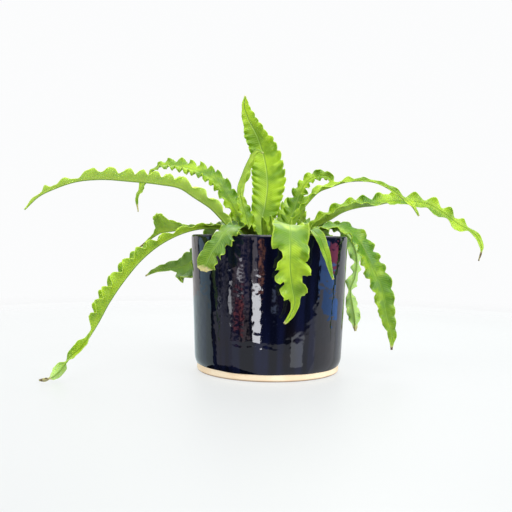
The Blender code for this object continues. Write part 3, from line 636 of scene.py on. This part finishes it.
def pot_shift(radius, height, angle):
    """Throwing rings on the wall, and a glaze that ends in an uneven line above the foot."""
    outside = radius > RIM_RADIUS - WALL / 2 - 1
    wall = smoothstep(height, 12, 8) * smoothstep(117 - height, 0, 6) * outside
    rings = 0.003 * np.sin(height * 1.25 + 0.6 * np.sin(angle * 2)) + 0.012 * np.sin(height * 0.52 + angle)
    swell = 0.05 * np.sin(angle * 3 + height * 0.03) + 0.02 * np.sin(angle * 11 + height * 0.05)
    edge = hump(height, 2.2, GLAZE_HEIGHT) * (radius > FOOT_RADIUS)
    uneven = 0.3 * np.sin(angle * 2 + 0.7) + 0.2 * np.sin(angle * 5 + 2) + 0.1 * np.sin(angle * 13)
    return radius + wall * (rings + swell), height + edge * uneven


def make_pot(glaze, clay):
    profile, glazed = pot_profile()
    points = turned_points(profile, POT_SEGMENTS, pot_shift) * MM
    piece = link_mesh("pot_glazed", points, flipped(capped_faces(len(profile), POT_SEGMENTS)), glaze)
    piece.data.materials.append(clay)
    for polygon in piece.data.polygons:
        polygon.material_index = int(min(polygon.vertices) // POT_SEGMENTS >= glazed)
    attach(piece, "root")
    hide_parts("pot")


def roughen(points, draw, share):
    """Raises and lowers the points by a share of LUMPS, as sine waves in drawn directions."""
    x, y = points[:, :, 0], points[:, :, 1]
    total = np.zeros_like(x)
    for length, height in LUMPS:
        for _ in range(WAVES):
            way = draw.uniform(0, TURN)
            phase = draw.uniform(0, TURN)
            step = TURN / (length * draw.uniform(0.7, 1.4))
            total += height / 2.2 * np.sin((x * math.cos(way) + y * math.sin(way)) * step + phase)
    points[:, :, 2] += total * share


def soil_height(radius):
    """The height of the soil's surface between the crown and the wall."""
    edge = SOIL_EDGE - 0.1
    return SOIL_TOP + SOIL_RISE * smoothstep(edge - radius, 0, edge - CROWN_HOLE - 6)


def make_soil(material):
    """The soil's body, with a crumbled top."""
    draw = np.random.default_rng(11)
    top = np.linspace(CROWN_HOLE + 0.4, SOIL_EDGE, SOIL_RINGS)
    radii = np.concatenate([[CROWN_HOLE, CROWN_HOLE], top, [SOIL_EDGE, HEEL_RADIUS - WALL - 0.4]])
    heights = soil_height(radii)
    heights[0] = CROWN_FLOOR
    heights[-1] = FLOOR + FLOOR_CORNER
    points = turned_points(np.stack([radii, heights], axis=1), SOIL_SEGMENTS)
    roughen(points[2:-2], draw, 0.75)
    faces = capped_faces(len(radii), SOIL_SEGMENTS)
    piece = link_mesh("soil_bed", points * MM, faces, material)
    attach(piece, "root")
    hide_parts("soil")


def scatter(name, count, seed, size, stretch, material):
    """Many small rough lumps lying on the soil, in one mesh."""
    draw = np.random.default_rng(seed)
    points, faces = [], []
    angle = np.arange(BIT_SIDES) * TURN / BIT_SIDES
    level = np.linspace(-1, 1, BIT_RINGS)
    ring = np.sqrt(1.03 - level**2)
    ball = [np.outer(ring, np.cos(angle)), np.outer(ring, np.sin(angle)), np.outer(level, np.ones(BIT_SIDES))]
    ball = np.stack(ball, axis=2).reshape(-1, 3)
    for k in range(count):
        radius = math.sqrt(draw.uniform((CROWN_RADIUS + 3) ** 2, (RIM_RADIUS - WALL - 4) ** 2))
        way = draw.uniform(0, TURN)
        length = draw.uniform(*size)
        shape = np.array([length, length * draw.uniform(*stretch), length * draw.uniform(*stretch) * 0.8]) / 2
        lump = ball * shape * draw.uniform(*UNEVEN, ball.shape)
        turn = draw.uniform(0, TURN)
        tilt = draw.uniform(-0.5, 0.5)
        c, s, up, over = math.cos(turn), math.sin(turn), math.cos(tilt), math.sin(tilt)
        lump = lump @ np.array([[1, 0, 0], [0, up, -over], [0, over, up]]).T
        lump = lump @ np.array([[c, -s, 0], [s, c, 0], [0, 0, 1]]).T
        height = float(soil_height(np.array(radius))) + shape[2] * 0.5
        points.append(lump + [radius * math.cos(way), radius * math.sin(way), height])
        faces += capped_faces(BIT_RINGS, BIT_SIDES, first=k * len(ball))
    piece = link_mesh(name, np.vstack(points) * MM, faces, material, smooth=False)
    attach(piece, "root")


def crown_height(radius):
    return CROWN_SHOULDER + CROWN_DOME * np.sqrt(np.clip(1 - (radius / CROWN_RADIUS) ** 2, 0, 1))


def make_crown(material):
    """The crown's rough dome."""
    draw = np.random.default_rng(23)
    radii = CROWN_RADIUS * np.sin(np.linspace(0, 1, CROWN_RINGS) * math.pi / 2)
    radii[0] = 0.4
    profile = np.stack([radii, crown_height(radii)], axis=1)
    profile = np.vstack([profile, [[CROWN_RADIUS, CROWN_FLOOR + 0.3]]])
    points = turned_points(profile, CROWN_SEGMENTS)
    roughen(points[:-2], draw, 0.4)
    faces = flipped(capped_faces(len(profile), CROWN_SEGMENTS))
    piece = link_mesh("crown_dome", points * MM, faces, material)
    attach(piece, "root")
    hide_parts("crown")


def make_scales(material):
    """Narrow papery scales on the crown, set out by the golden angle and pointing outwards and up."""
    draw = np.random.default_rng(31)
    points, faces = [], []
    for k in range(SCALES):
        radius = CROWN_RADIUS * 0.98 * math.sqrt((k + 0.5) / SCALES)
        way = k * GOLDEN_ANGLE + draw.uniform(-0.1, 0.1)
        length, half = draw.uniform(4, 8), draw.uniform(0.5, 1)
        steep = math.radians(draw.uniform(35, 75) - 25 * radius / CROWN_RADIUS)
        out = np.array([math.cos(way), math.sin(way), 0])
        side = np.array([-math.sin(way), math.cos(way), 0])
        aim = out * math.cos(steep) + np.array([0, 0, 1]) * math.sin(steep)
        root = out * radius + [0, 0, float(crown_height(np.array(radius))) - 0.8]
        for t, width in SCALE_WIDTHS:
            curl = np.array([0, 0, -1]) * 0.22 * length * t * t
            middle = root + aim * length * t + curl + side * 0.15 * length * t * draw.uniform(-1, 1)
            thick = np.cross(side, aim) * 0.12
            for a, lift in ((-1, 0), (0, 1), (1, 0), (0, -1)):
                points.append(middle + side * half * width * a + thick * lift)
        faces += capped_faces(4, 4, first=16 * k)
    piece = link_mesh("crown_scales", np.array(points) * MM, faces, material)
    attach(piece, "root")


# Materials


class Nodes:
    """Adds nodes to a tree. Most methods give back the socket that holds their result."""

    def __init__(self, tree):
        self.tree = tree

    def node(self, kind, inputs=None, **settings):
        node = self.tree.nodes.new(kind)
        for key, value in settings.items():
            setattr(node, key, value)
        for key, value in (inputs or {}).items():
            self.put(value, node.inputs[key])
        return node

    def put(self, value, socket):
        if isinstance(value, bpy.types.NodeSocket):
            self.tree.links.new(value, socket)
        else:
            socket.default_value = value

    def attribute(self, name):
        return self.node("ShaderNodeAttribute", attribute_name=name).outputs["Fac"]

    def sums(self, operation, a, b=0, clamp=False):
        return self.node("ShaderNodeMath", {0: a, 1: b}, operation=operation, use_clamp=clamp).outputs[0]

    def spread(self, value, low, high, to_low=0, to_high=1):
        """The value moved from one range to another, eased and kept inside it."""
        inputs = {"Value": value, "From Min": low, "From Max": high, "To Min": to_low, "To Max": to_high}
        return self.node("ShaderNodeMapRange", inputs, interpolation_type="SMOOTHSTEP").outputs["Result"]

    def place(self, scale=(1, 1, 1)):
        """The point of the surface, stretched along each axis."""
        coordinates = self.node("ShaderNodeTexCoord").outputs["Object"]
        return self.node("ShaderNodeMapping", {"Vector": coordinates, "Scale": scale}).outputs["Vector"]

    def noise(self, vector, scale, detail=3, roughness=0.5):
        inputs = {"Vector": vector, "Scale": scale, "Detail": detail, "Roughness": roughness}
        return self.node("ShaderNodeTexNoise", inputs).outputs["Fac"]

    def blend(self, factor, first, second):
        """A mix of two colours."""
        mix = self.node("ShaderNodeMix", data_type="RGBA")
        for index, value in ((0, factor), (6, first), (7, second)):
            if isinstance(value, tuple):
                value = (*value, 1)
            self.put(value, mix.inputs[index])
        return mix.outputs[2]

    def bump(self, height, distance, strength=1, before=None):
        inputs = {"Height": height, "Distance": distance, "Strength": strength}
        if before:
            inputs["Normal"] = before
        return self.node("ShaderNodeBump", inputs).outputs["Normal"]

    def glow(self, kind, colour, strength):
        return self.node(kind, {"Color": (*colour, 1), "Strength": strength}).outputs[0]


class Paint(Nodes):
    """Builds a material's nodes."""

    def __init__(self, name, roughness):
        self.material = bpy.data.materials.new(name)
        self.material.use_nodes = True
        super().__init__(self.material.node_tree)
        self.shader = self.tree.nodes["Principled BSDF"]
        self.shader.inputs["Roughness"].default_value = roughness

    def finish(self, **sockets):
        for name, value in sockets.items():
            if isinstance(value, tuple) and len(value) == 3 and "color" in name:
                value = (*value, 1)
            self.put(value, self.shader.inputs[name.replace("_", " ").title().replace("Ior", "IOR")])
        return self.material


def leaf_material():
    """Lime green blades with fine side veins, a grooved rib, a pale edge, duller undersides and withered
    tips, with painted shade on the darker fronds and painted light on the paler ones."""
    paint = Paint("fern_leaf", 0.4)
    vein, offset, edge, share, under, withered, browned, tone, bleached = (
        paint.attribute(name)
        for name in ("vein", "offset", "edge", "along", "under", "withered", "browned", "tone", "bleached")
    )
    sums, spread, blend, place = paint.sums, paint.spread, paint.blend, paint.place()
    mottle, fine = paint.noise(place, 60), paint.noise(place, 420)
    # Lightness follows the frond's tone, which holds painted shade and light, plus a random mottle.
    lightness = sums("ADD", sums("MULTIPLY", tone, 0.3), spread(mottle, 0.32, 0.68, 0.02, 0.85))
    stripe = sums("SINE", sums("MULTIPLY", vein, TURN / VEIN_STEP))
    stripe = sums("MULTIPLY", stripe, spread(offset, 0.8, 2))
    below = blend(mottle, (0.24, 0.42, 0.03), (0.4, 0.56, 0.06))
    colour = blend(lightness, (0.075, 0.21, 0.005), (0.39, 0.57, 0.022))
    for strength, tint in (
        # Painted shade on the darkest fronds and painted light on the palest, over their own tone, and the
        # young outer half.
        (spread(tone, -2, -0.5, 0.75, 0), (0.025, 0.1, 0.004)),
        (spread(tone, 0.8, 2, 0, 0.8), (0.54, 0.7, 0.15)),
        (spread(share, 0.5, 1, 0, 0.12), (0.47, 0.6, 0.035)),
        # The underside, and what is bleached.
        (sums("MULTIPLY", under, 0.4), below),
        (sums("MULTIPLY", bleached, 0.8), (0.48, 0.7, 0.24)),
        # The side veins, the rib's pale shoulders, its dark groove and the blade's pale edge.
        (spread(stripe, 0.2, 1, 0, 0.16), (0.44, 0.62, 0.04)),
        (spread(offset, 0.5, 1.5, 0.3, 0), (0.42, 0.58, 0.08)),
        (spread(offset, 0.25, 0.75, 0.6, 0), (0.1, 0.24, 0.012)),
        (spread(edge, 0.9, 1, 0, 0.55), (0.52, 0.68, 0.08)),
        # The stalk.
        (spread(share, -0.5, 0.12, 0.85, 0), (0.055, 0.085, 0.008)),
    ):
        colour = blend(strength, colour, tint)
    spotted = sums("ADD", withered, spread(fine, 0.45, 0.7, -0.25, 0.25), clamp=True)
    drying = sums("MULTIPLY", spotted, spread(withered, 0, 0.2), clamp=True)
    brown = sums("MULTIPLY", spread(drying, 0.5, 1), browned)
    colour = blend(drying, colour, (0.64, 0.56, 0.28))
    colour = blend(brown, colour, (0.11, 0.075, 0.045))
    normal = paint.bump(stripe, 0.00006, 0.8)
    normal = paint.bump(mottle, 0.0012, 0.5, normal)
    rough = sums("ADD", spread(under, 0, 1, 0.4, 0.5), sums("MULTIPLY", drying, 0.3))
    return paint.finish(
        base_color=colour, roughness=rough, normal=normal, subsurface_weight=0.45,
        subsurface_radius=(0.0013, 0.0016, 0.0002), subsurface_scale=1, specular_ior_level=0.35,
    )


def glaze_material():
    """A near-black navy glaze with soft vertical runs."""
    paint = Paint("navy_glaze", 0.05)
    runs = paint.noise(paint.place((90, 90, 5)), 1, 4)
    cloud = paint.noise(paint.place(), 22, 2)
    navy = paint.blend(paint.spread(runs, 0.4, 0.65), (0.002, 0.0026, 0.006), (0.005, 0.007, 0.026))
    colour = paint.blend(paint.spread(cloud, 0.55, 0.8, 0, 0.6), navy, (0.012, 0.006, 0.006))
    ripple = paint.noise(paint.place((130, 130, 150)), 1, 1)
    brushed = paint.noise(paint.place((260, 260, 12)), 1, 2)
    pits = paint.noise(paint.place(), 900, 2)
    normal = paint.bump(ripple, 0.00022, 1)
    normal = paint.bump(brushed, 0.00005, 1, normal)
    normal = paint.bump(pits, 0.00003, 0.25, normal)
    rough = paint.spread(cloud, 0.3, 0.8, 0.03, 0.08)
    return paint.finish(base_color=colour, roughness=rough, normal=normal)


def clay_material():
    """Pale bare clay with dark grains, turning rings and a painted contact shadow, a dark line along the
    bottom where it stands.
    """
    paint = Paint("bare_clay", 0.8)
    place = paint.place()
    grain, cloud = paint.noise(place, 1400), paint.noise(place, 60)
    colour = paint.blend(paint.spread(cloud, 0.3, 0.7), (0.95, 0.72, 0.48), (0.98, 0.82, 0.6))
    colour = paint.blend(paint.spread(grain, 0.62, 0.75, 0, 0.5), colour, (0.5, 0.32, 0.18))
    # Painted contact shadow: the colour darkens over the lowest 1.7 mm of the foot.
    height = paint.node("ShaderNodeSeparateXYZ", {0: place}).outputs["Z"]
    colour = paint.blend(paint.spread(height, 0.0004, 0.0017, 0.85, 0), colour, (0.26, 0.13, 0.07))
    rings = paint.noise(paint.place((5, 5, 900)), 1, 2)
    normal = paint.bump(rings, 0.0003, 0.4)
    normal = paint.bump(grain, 0.0002, 0.4, normal)
    rough = paint.spread(cloud, 0.3, 0.7, 0.72, 0.88)
    return paint.finish(base_color=colour, roughness=rough, normal=normal)


def grainy_material(name, matt, grain, shades, clouds, tint, relief, rough, stretch=(1, 1, 1),
                    shown=(0.5, 0.75, 0, 0.5)):
    """Fine grains between two shades, with clouds of a tint."""
    paint = Paint(name, matt)
    grains = paint.noise(paint.place(stretch), *grain)
    cloud = paint.noise(paint.place(), *clouds)
    colour = paint.blend(paint.spread(cloud, *shown), paint.blend(grains, *shades), tint)
    rough = paint.spread(grains, 0.2, 0.8, *rough)
    return paint.finish(base_color=colour, roughness=rough, normal=paint.bump(grains, *relief))


def soil_material():
    return grainy_material(
        "potting_soil", 0.95, grain=(700, 5, 0.7), shades=((0.012, 0.008, 0.005), (0.09, 0.055, 0.032)),
        clouds=(90, 3), tint=(0.05, 0.035, 0.02), relief=(0.0012, 0.9), rough=(0.85, 1),
    )


def bark_material():
    return grainy_material(
        "bark_chip", 0.85, grain=(500, 4, 0.65), stretch=(1, 1, 3),
        shades=((0.035, 0.018, 0.009), (0.17, 0.09, 0.045)), clouds=(140, 2), shown=(0.45, 0.7, 0, 0.6),
        tint=(0.03, 0.02, 0.014), relief=(0.0006, 0.8), rough=(0.75, 0.95),
    )


def crown_material():
    return grainy_material(
        "crown_scales", 0.8, grain=(900, 4, 0.6), stretch=(1, 1, 0.3),
        shades=((0.03, 0.014, 0.007), (0.16, 0.085, 0.035)), clouds=(160, 2),
        tint=(0.22, 0.13, 0.06), relief=(0.0003, 0.6), rough=(0.65, 0.9),
    )


def perlite_material():
    paint = Paint("perlite", 0.9)
    pores = paint.noise(paint.place(), 1800)
    colour = paint.blend(paint.spread(pores, 0.35, 0.65), (0.45, 0.42, 0.36), (0.78, 0.76, 0.7))
    rough = paint.spread(pores, 0.3, 0.7, 0.8, 0.95)
    return paint.finish(base_color=colour, roughness=rough, normal=paint.bump(pores, 0.0004, 0.8))


# Stage

# The floor that shows: its two shades, the light that it gives off, its half width, how far it lies under the
# pot, and the distances between which it fades away.
FLOOR_COLOUR = (0.12, 0.124, 0.125)
FLOOR_MOTTLE = (0.131, 0.133, 0.133)
FLOOR_GLOW = (0.625, 0.64, 0.64)
FLOOR_HALF = 3
FLOOR_DEPTH = 0.0002
FLOOR_FADE = (0.35, 0.9)
# What lies on the floor in the gloss only: outlines in metres, colour and strength, the topmost first.
PLATE_DEPTH = 0.0006
PLATE_STEP = 0.0002
PLATES = [
    ("paper", [(0.0356, -0.092), (0.112, -0.2046), (0.164, -0.16), (0.054, -0.081)], (0.9, 0.95, 1), 2.2),
    ("cloth", [(0.389, -0.077), (0.643, -0.095), (0.55, 0.309), (0.342, 0.1625)], (0.2, 0.42, 1), 2.4),
    ("table", [(-0.06, -0.078), (-0.155, -0.133), (-0.062, -0.2), (0.068, -0.19), (0.38, -0.168),
     (0.404, -0.164), (0.039, -0.057)], (0.9, 0.93, 1), 0.75),
    ("table_left", [(-0.075, -0.052), (-0.17, -0.056), (-0.376, -0.045), (-0.361, -0.132), (-0.317, -0.229),
     (-0.155, -0.133), (-0.06, -0.078)], (0.95, 0.93, 1), 0.6),
    ("table_far_left", [(-0.075, -0.044), (-0.17, -0.04), (-0.36, 0), (-0.7, 0.12), (-0.7, 0.9), (0, 0.9),
     (0, 0.06)], (0.82, 0.97, 1), 0.95),
    ("table_right", [(0.039, -0.057), (0.404, -0.164), (0.77, -0.145), (1.4, -0.1), (1.24, 0.71),
     (0.0583, -0.0369)], (0.93, 0.95, 1), 1.05),
    ("table_far_right", [(0.0583, -0.0369), (1.24, 0.71), (1, 0.9), (0, 0.9), (0, 0.06)],
     (0.95, 1, 1), 0.75),
]
# Dim and bright strips of the room that only the gloss sees: azimuths in degrees from the camera's side and
# positive to the right, heights, colour, strength, and 1 where the strip is broken up into upright patches.
# Each stands a little nearer than the one before it.
ROOM_RADIUS = 0.7
STRIP_STEP = 0.001
STRIPS = [
    ("wall_left", -180, -121, -0.3, 0.25, (1, 0.97, 0.97), 0.85, 0),
    ("shade_left", -119, -93, -0.3, 0.25, (0.55, 0.8, 1), 1.1, 0),
    ("doorway", -79, -58, -0.3, 0.25, (0.85, 0.8, 0.85), 0.8, 1),
    ("lamp_left", -59, -55, -0.065, -0.006, (0.95, 0.97, 1), 5, 0),
    ("curtain_left", -55, -27, -0.3, 0.25, (0.95, 0.75, 0.8), 1.1, 1),
    ("specks_left", -50, -36, -0.09, -0.025, (1, 0.27, 0.24), 2.6, 1),
    ("lamp_middle", -22.5, -11.5, -0.12, -0.012, (0.95, 0.97, 1), 14, 0),
    ("curtain", -23.5, -18, -0.012, 0.25, (0.9, 0.8, 0.85), 1.7, 0),
    ("brick", -15, 0, -0.01, 0.08, (1, 0.4, 0.2), 3.5, 1),
    ("night", -8, 22, -0.3, 0.25, (0.1, 0.14, 1), 0.12, 0),
    ("cloth_blue", 74, 112, -0.075, 0.035, (0.2, 0.42, 1), 2.8, 0),
    ("cloth_above", 76, 91, 0.035, 0.09, (0.2, 0.38, 1), 2.4, 0),
    ("cloth_red", 92, 112, 0.038, 0.085, (1, 0.2, 0.32), 1.8, 0),
    ("thread_right", 78.5, 80.5, -0.12, -0.02, (1, 1, 1), 2.5, 0),
    ("glass_left", -80, -72, -0.063, -0.02, (0.9, 0.93, 1), 2.4, 1),
    ("glint_left", -44, -37, 0, 0.018, (0.95, 0.95, 1), 6, 1),
    ("glint_right", 3, 12, -0.055, -0.012, (0.49, 0.62, 1), 2.2, 1),
    ("wall_right", 118, 180, -0.3, 0.25, (0.97, 1, 0.98), 0.8, 0),
]
# Round soft lamps: place, the point that each is aimed at, width and watts.
LAMPS = [
    ("key", (0.9, -0.75, 0.6), (0, 0, 0.12), 0.5, 7.5),
    ("top", (0.1, -0.5, 1.3), (0, 0, 0.12), 0.8, 9),
    ("fill", (-0.9, -0.3, 0.9), (0, 0, 0.12), 0.9, 4),
    ("back", (0.1, 0.8, 1.1), (0, 0, 0.14), 1.2, 8),
]
# The world: colour and strength of what the camera sees and of the light all round, and the mirrored ceiling
# as heights of the view between which it brightens, from one strength to the other.
BACKDROP = ((0.97, 0.975, 0.98), 1)
ALL_ROUND = ((0.97, 0.99, 1), 0.75)
CEILING = (0.1, 0.6, 0.01, 0.8)


def emission(name, colour, strength, patchy=False):
    """A glowing surface, even or in upright patches."""
    paint = Paint(name, 1)
    if patchy:
        strength = paint.spread(paint.noise(paint.place((16, 16, 40)), 1, 4, 0.6), 0.44, 0.6, 0, strength)
    output = paint.tree.nodes["Material Output"]
    paint.put(paint.glow("ShaderNodeEmission", colour, strength), output.inputs["Surface"])
    paint.tree.nodes.remove(paint.shader)
    paint.material.cycles.emission_sampling = "NONE"
    return paint.material


def only_gloss(thing):
    thing.visible_camera = thing.visible_diffuse = thing.visible_transmission = False
    thing.visible_shadow = thing.visible_volume_scatter = False


def make_strips():
    for k, (name, start, end, low, high, colour, strength, patchy) in enumerate(STRIPS):
        angles = np.radians(np.linspace(start, end, 2 + int((end - start) / 4)))
        ring = np.stack([np.sin(angles), -np.cos(angles)], axis=1) * (ROOM_RADIUS - STRIP_STEP * k)
        points = np.array([(x, y, z) for z in (low, high) for x, y in ring])
        faces = grid_faces(2, len(angles))
        strip = link_mesh("strip_" + name, points, faces, emission(name, colour, strength, patchy))
        only_gloss(strip)


def floor_material():
    """A pale floor that fades away round the object."""
    paint = Paint("floor", 0.5)
    coordinates = paint.node("ShaderNodeTexCoord").outputs["Object"]
    distance = paint.node("ShaderNodeVectorMath", {0: coordinates}, operation="LENGTH").outputs["Value"]
    mottle = paint.noise(coordinates, 3, 2)
    colour = paint.blend(paint.spread(mottle, 0.3, 0.7), FLOOR_COLOUR, FLOOR_MOTTLE)
    shown = paint.spread(distance, *FLOOR_FADE, 1, 0)
    paint.material.cycles.emission_sampling = "NONE"
    return paint.finish(base_color=colour, alpha=shown, emission_color=FLOOR_GLOW, emission_strength=1)


def make_plane(name, outline, depth, material):
    points = np.array([(x, y, -depth) for x, y in outline])
    plane = link_mesh(name, points, [tuple(range(len(outline)))], material)
    return plane


def make_floor():
    """The floor that shows, and the table that the glaze mirrors, with its edge in front of the pot."""
    square = [(x * FLOOR_HALF, y * FLOOR_HALF) for x, y in ((-1, -1), (1, -1), (1, 1), (-1, 1))]
    make_plane("floor", square, FLOOR_DEPTH, floor_material()).visible_glossy = False
    for k, (name, outline, colour, strength) in enumerate(PLATES):
        glow = emission("mirrored_" + name, colour, strength)
        only_gloss(make_plane("mirrored_" + name, outline, PLATE_DEPTH + PLATE_STEP * k, glow))


def make_light(name, place, aim, size, watts):
    data = bpy.data.lights.new(name, "AREA")
    data.shape = "DISK"
    data.size = size
    data.energy = watts
    add_object(name, data, place, (Vector(aim) - Vector(place)).to_track_quat("-Z", "Y"))


def make_world():
    """White behind the object, soft light all round, and a dark room with a bright ceiling in the gloss."""
    world = bpy.data.worlds.new("studio")
    world.use_nodes = True
    bpy.context.scene.world = world
    sky = Nodes(world.node_tree)
    sky.tree.nodes.clear()
    rays = sky.node("ShaderNodeLightPath").outputs
    direction = sky.node("ShaderNodeTexCoord").outputs["Generated"]
    height = sky.node("ShaderNodeSeparateXYZ", {0: direction}).outputs["Z"]
    room = ((1, 1, 1), sky.spread(height, *CEILING))
    seen, fill, gloss = (sky.glow("ShaderNodeBackground", *light) for light in (BACKDROP, ALL_ROUND, room))
    by_gloss = sky.node("ShaderNodeMixShader", {0: rays["Is Glossy Ray"], 1: fill, 2: gloss}).outputs[0]
    by_camera = sky.node("ShaderNodeMixShader", {0: rays["Is Camera Ray"], 1: by_gloss, 2: seen}).outputs[0]
    sky.node("ShaderNodeOutputWorld", {"Surface": by_camera})


def make_camera():
    data = bpy.data.cameras.new("camera")
    data.lens = LENS
    data.sensor_width = SENSOR
    aim = Quaternion((1, 0, 0), math.radians(90 - CAMERA_PITCH))
    roll = Quaternion((0, 0, 1), math.radians(CAMERA_ROLL))
    bpy.context.scene.camera = add_object("camera", data, CAMERA_PLACE, aim @ roll)


def build():
    make_camera()
    make_world()
    make_floor()
    make_strips()
    for lamp in LAMPS:
        make_light(*lamp)
    make_pot(glaze_material(), clay_material())
    make_soil(soil_material())
    scatter("soil_chips", *CHIPS, bark_material())
    scatter("soil_perlite", *PERLITE, perlite_material())
    crown = crown_material()
    make_crown(crown)
    make_scales(crown)
    leaf = leaf_material()
    for seed, frond in enumerate(FRONDS):
        make_frond(frond, seed, leaf)
    view = bpy.context.scene.view_settings
    view.view_transform = "Standard"
    view.look = "None"


build()
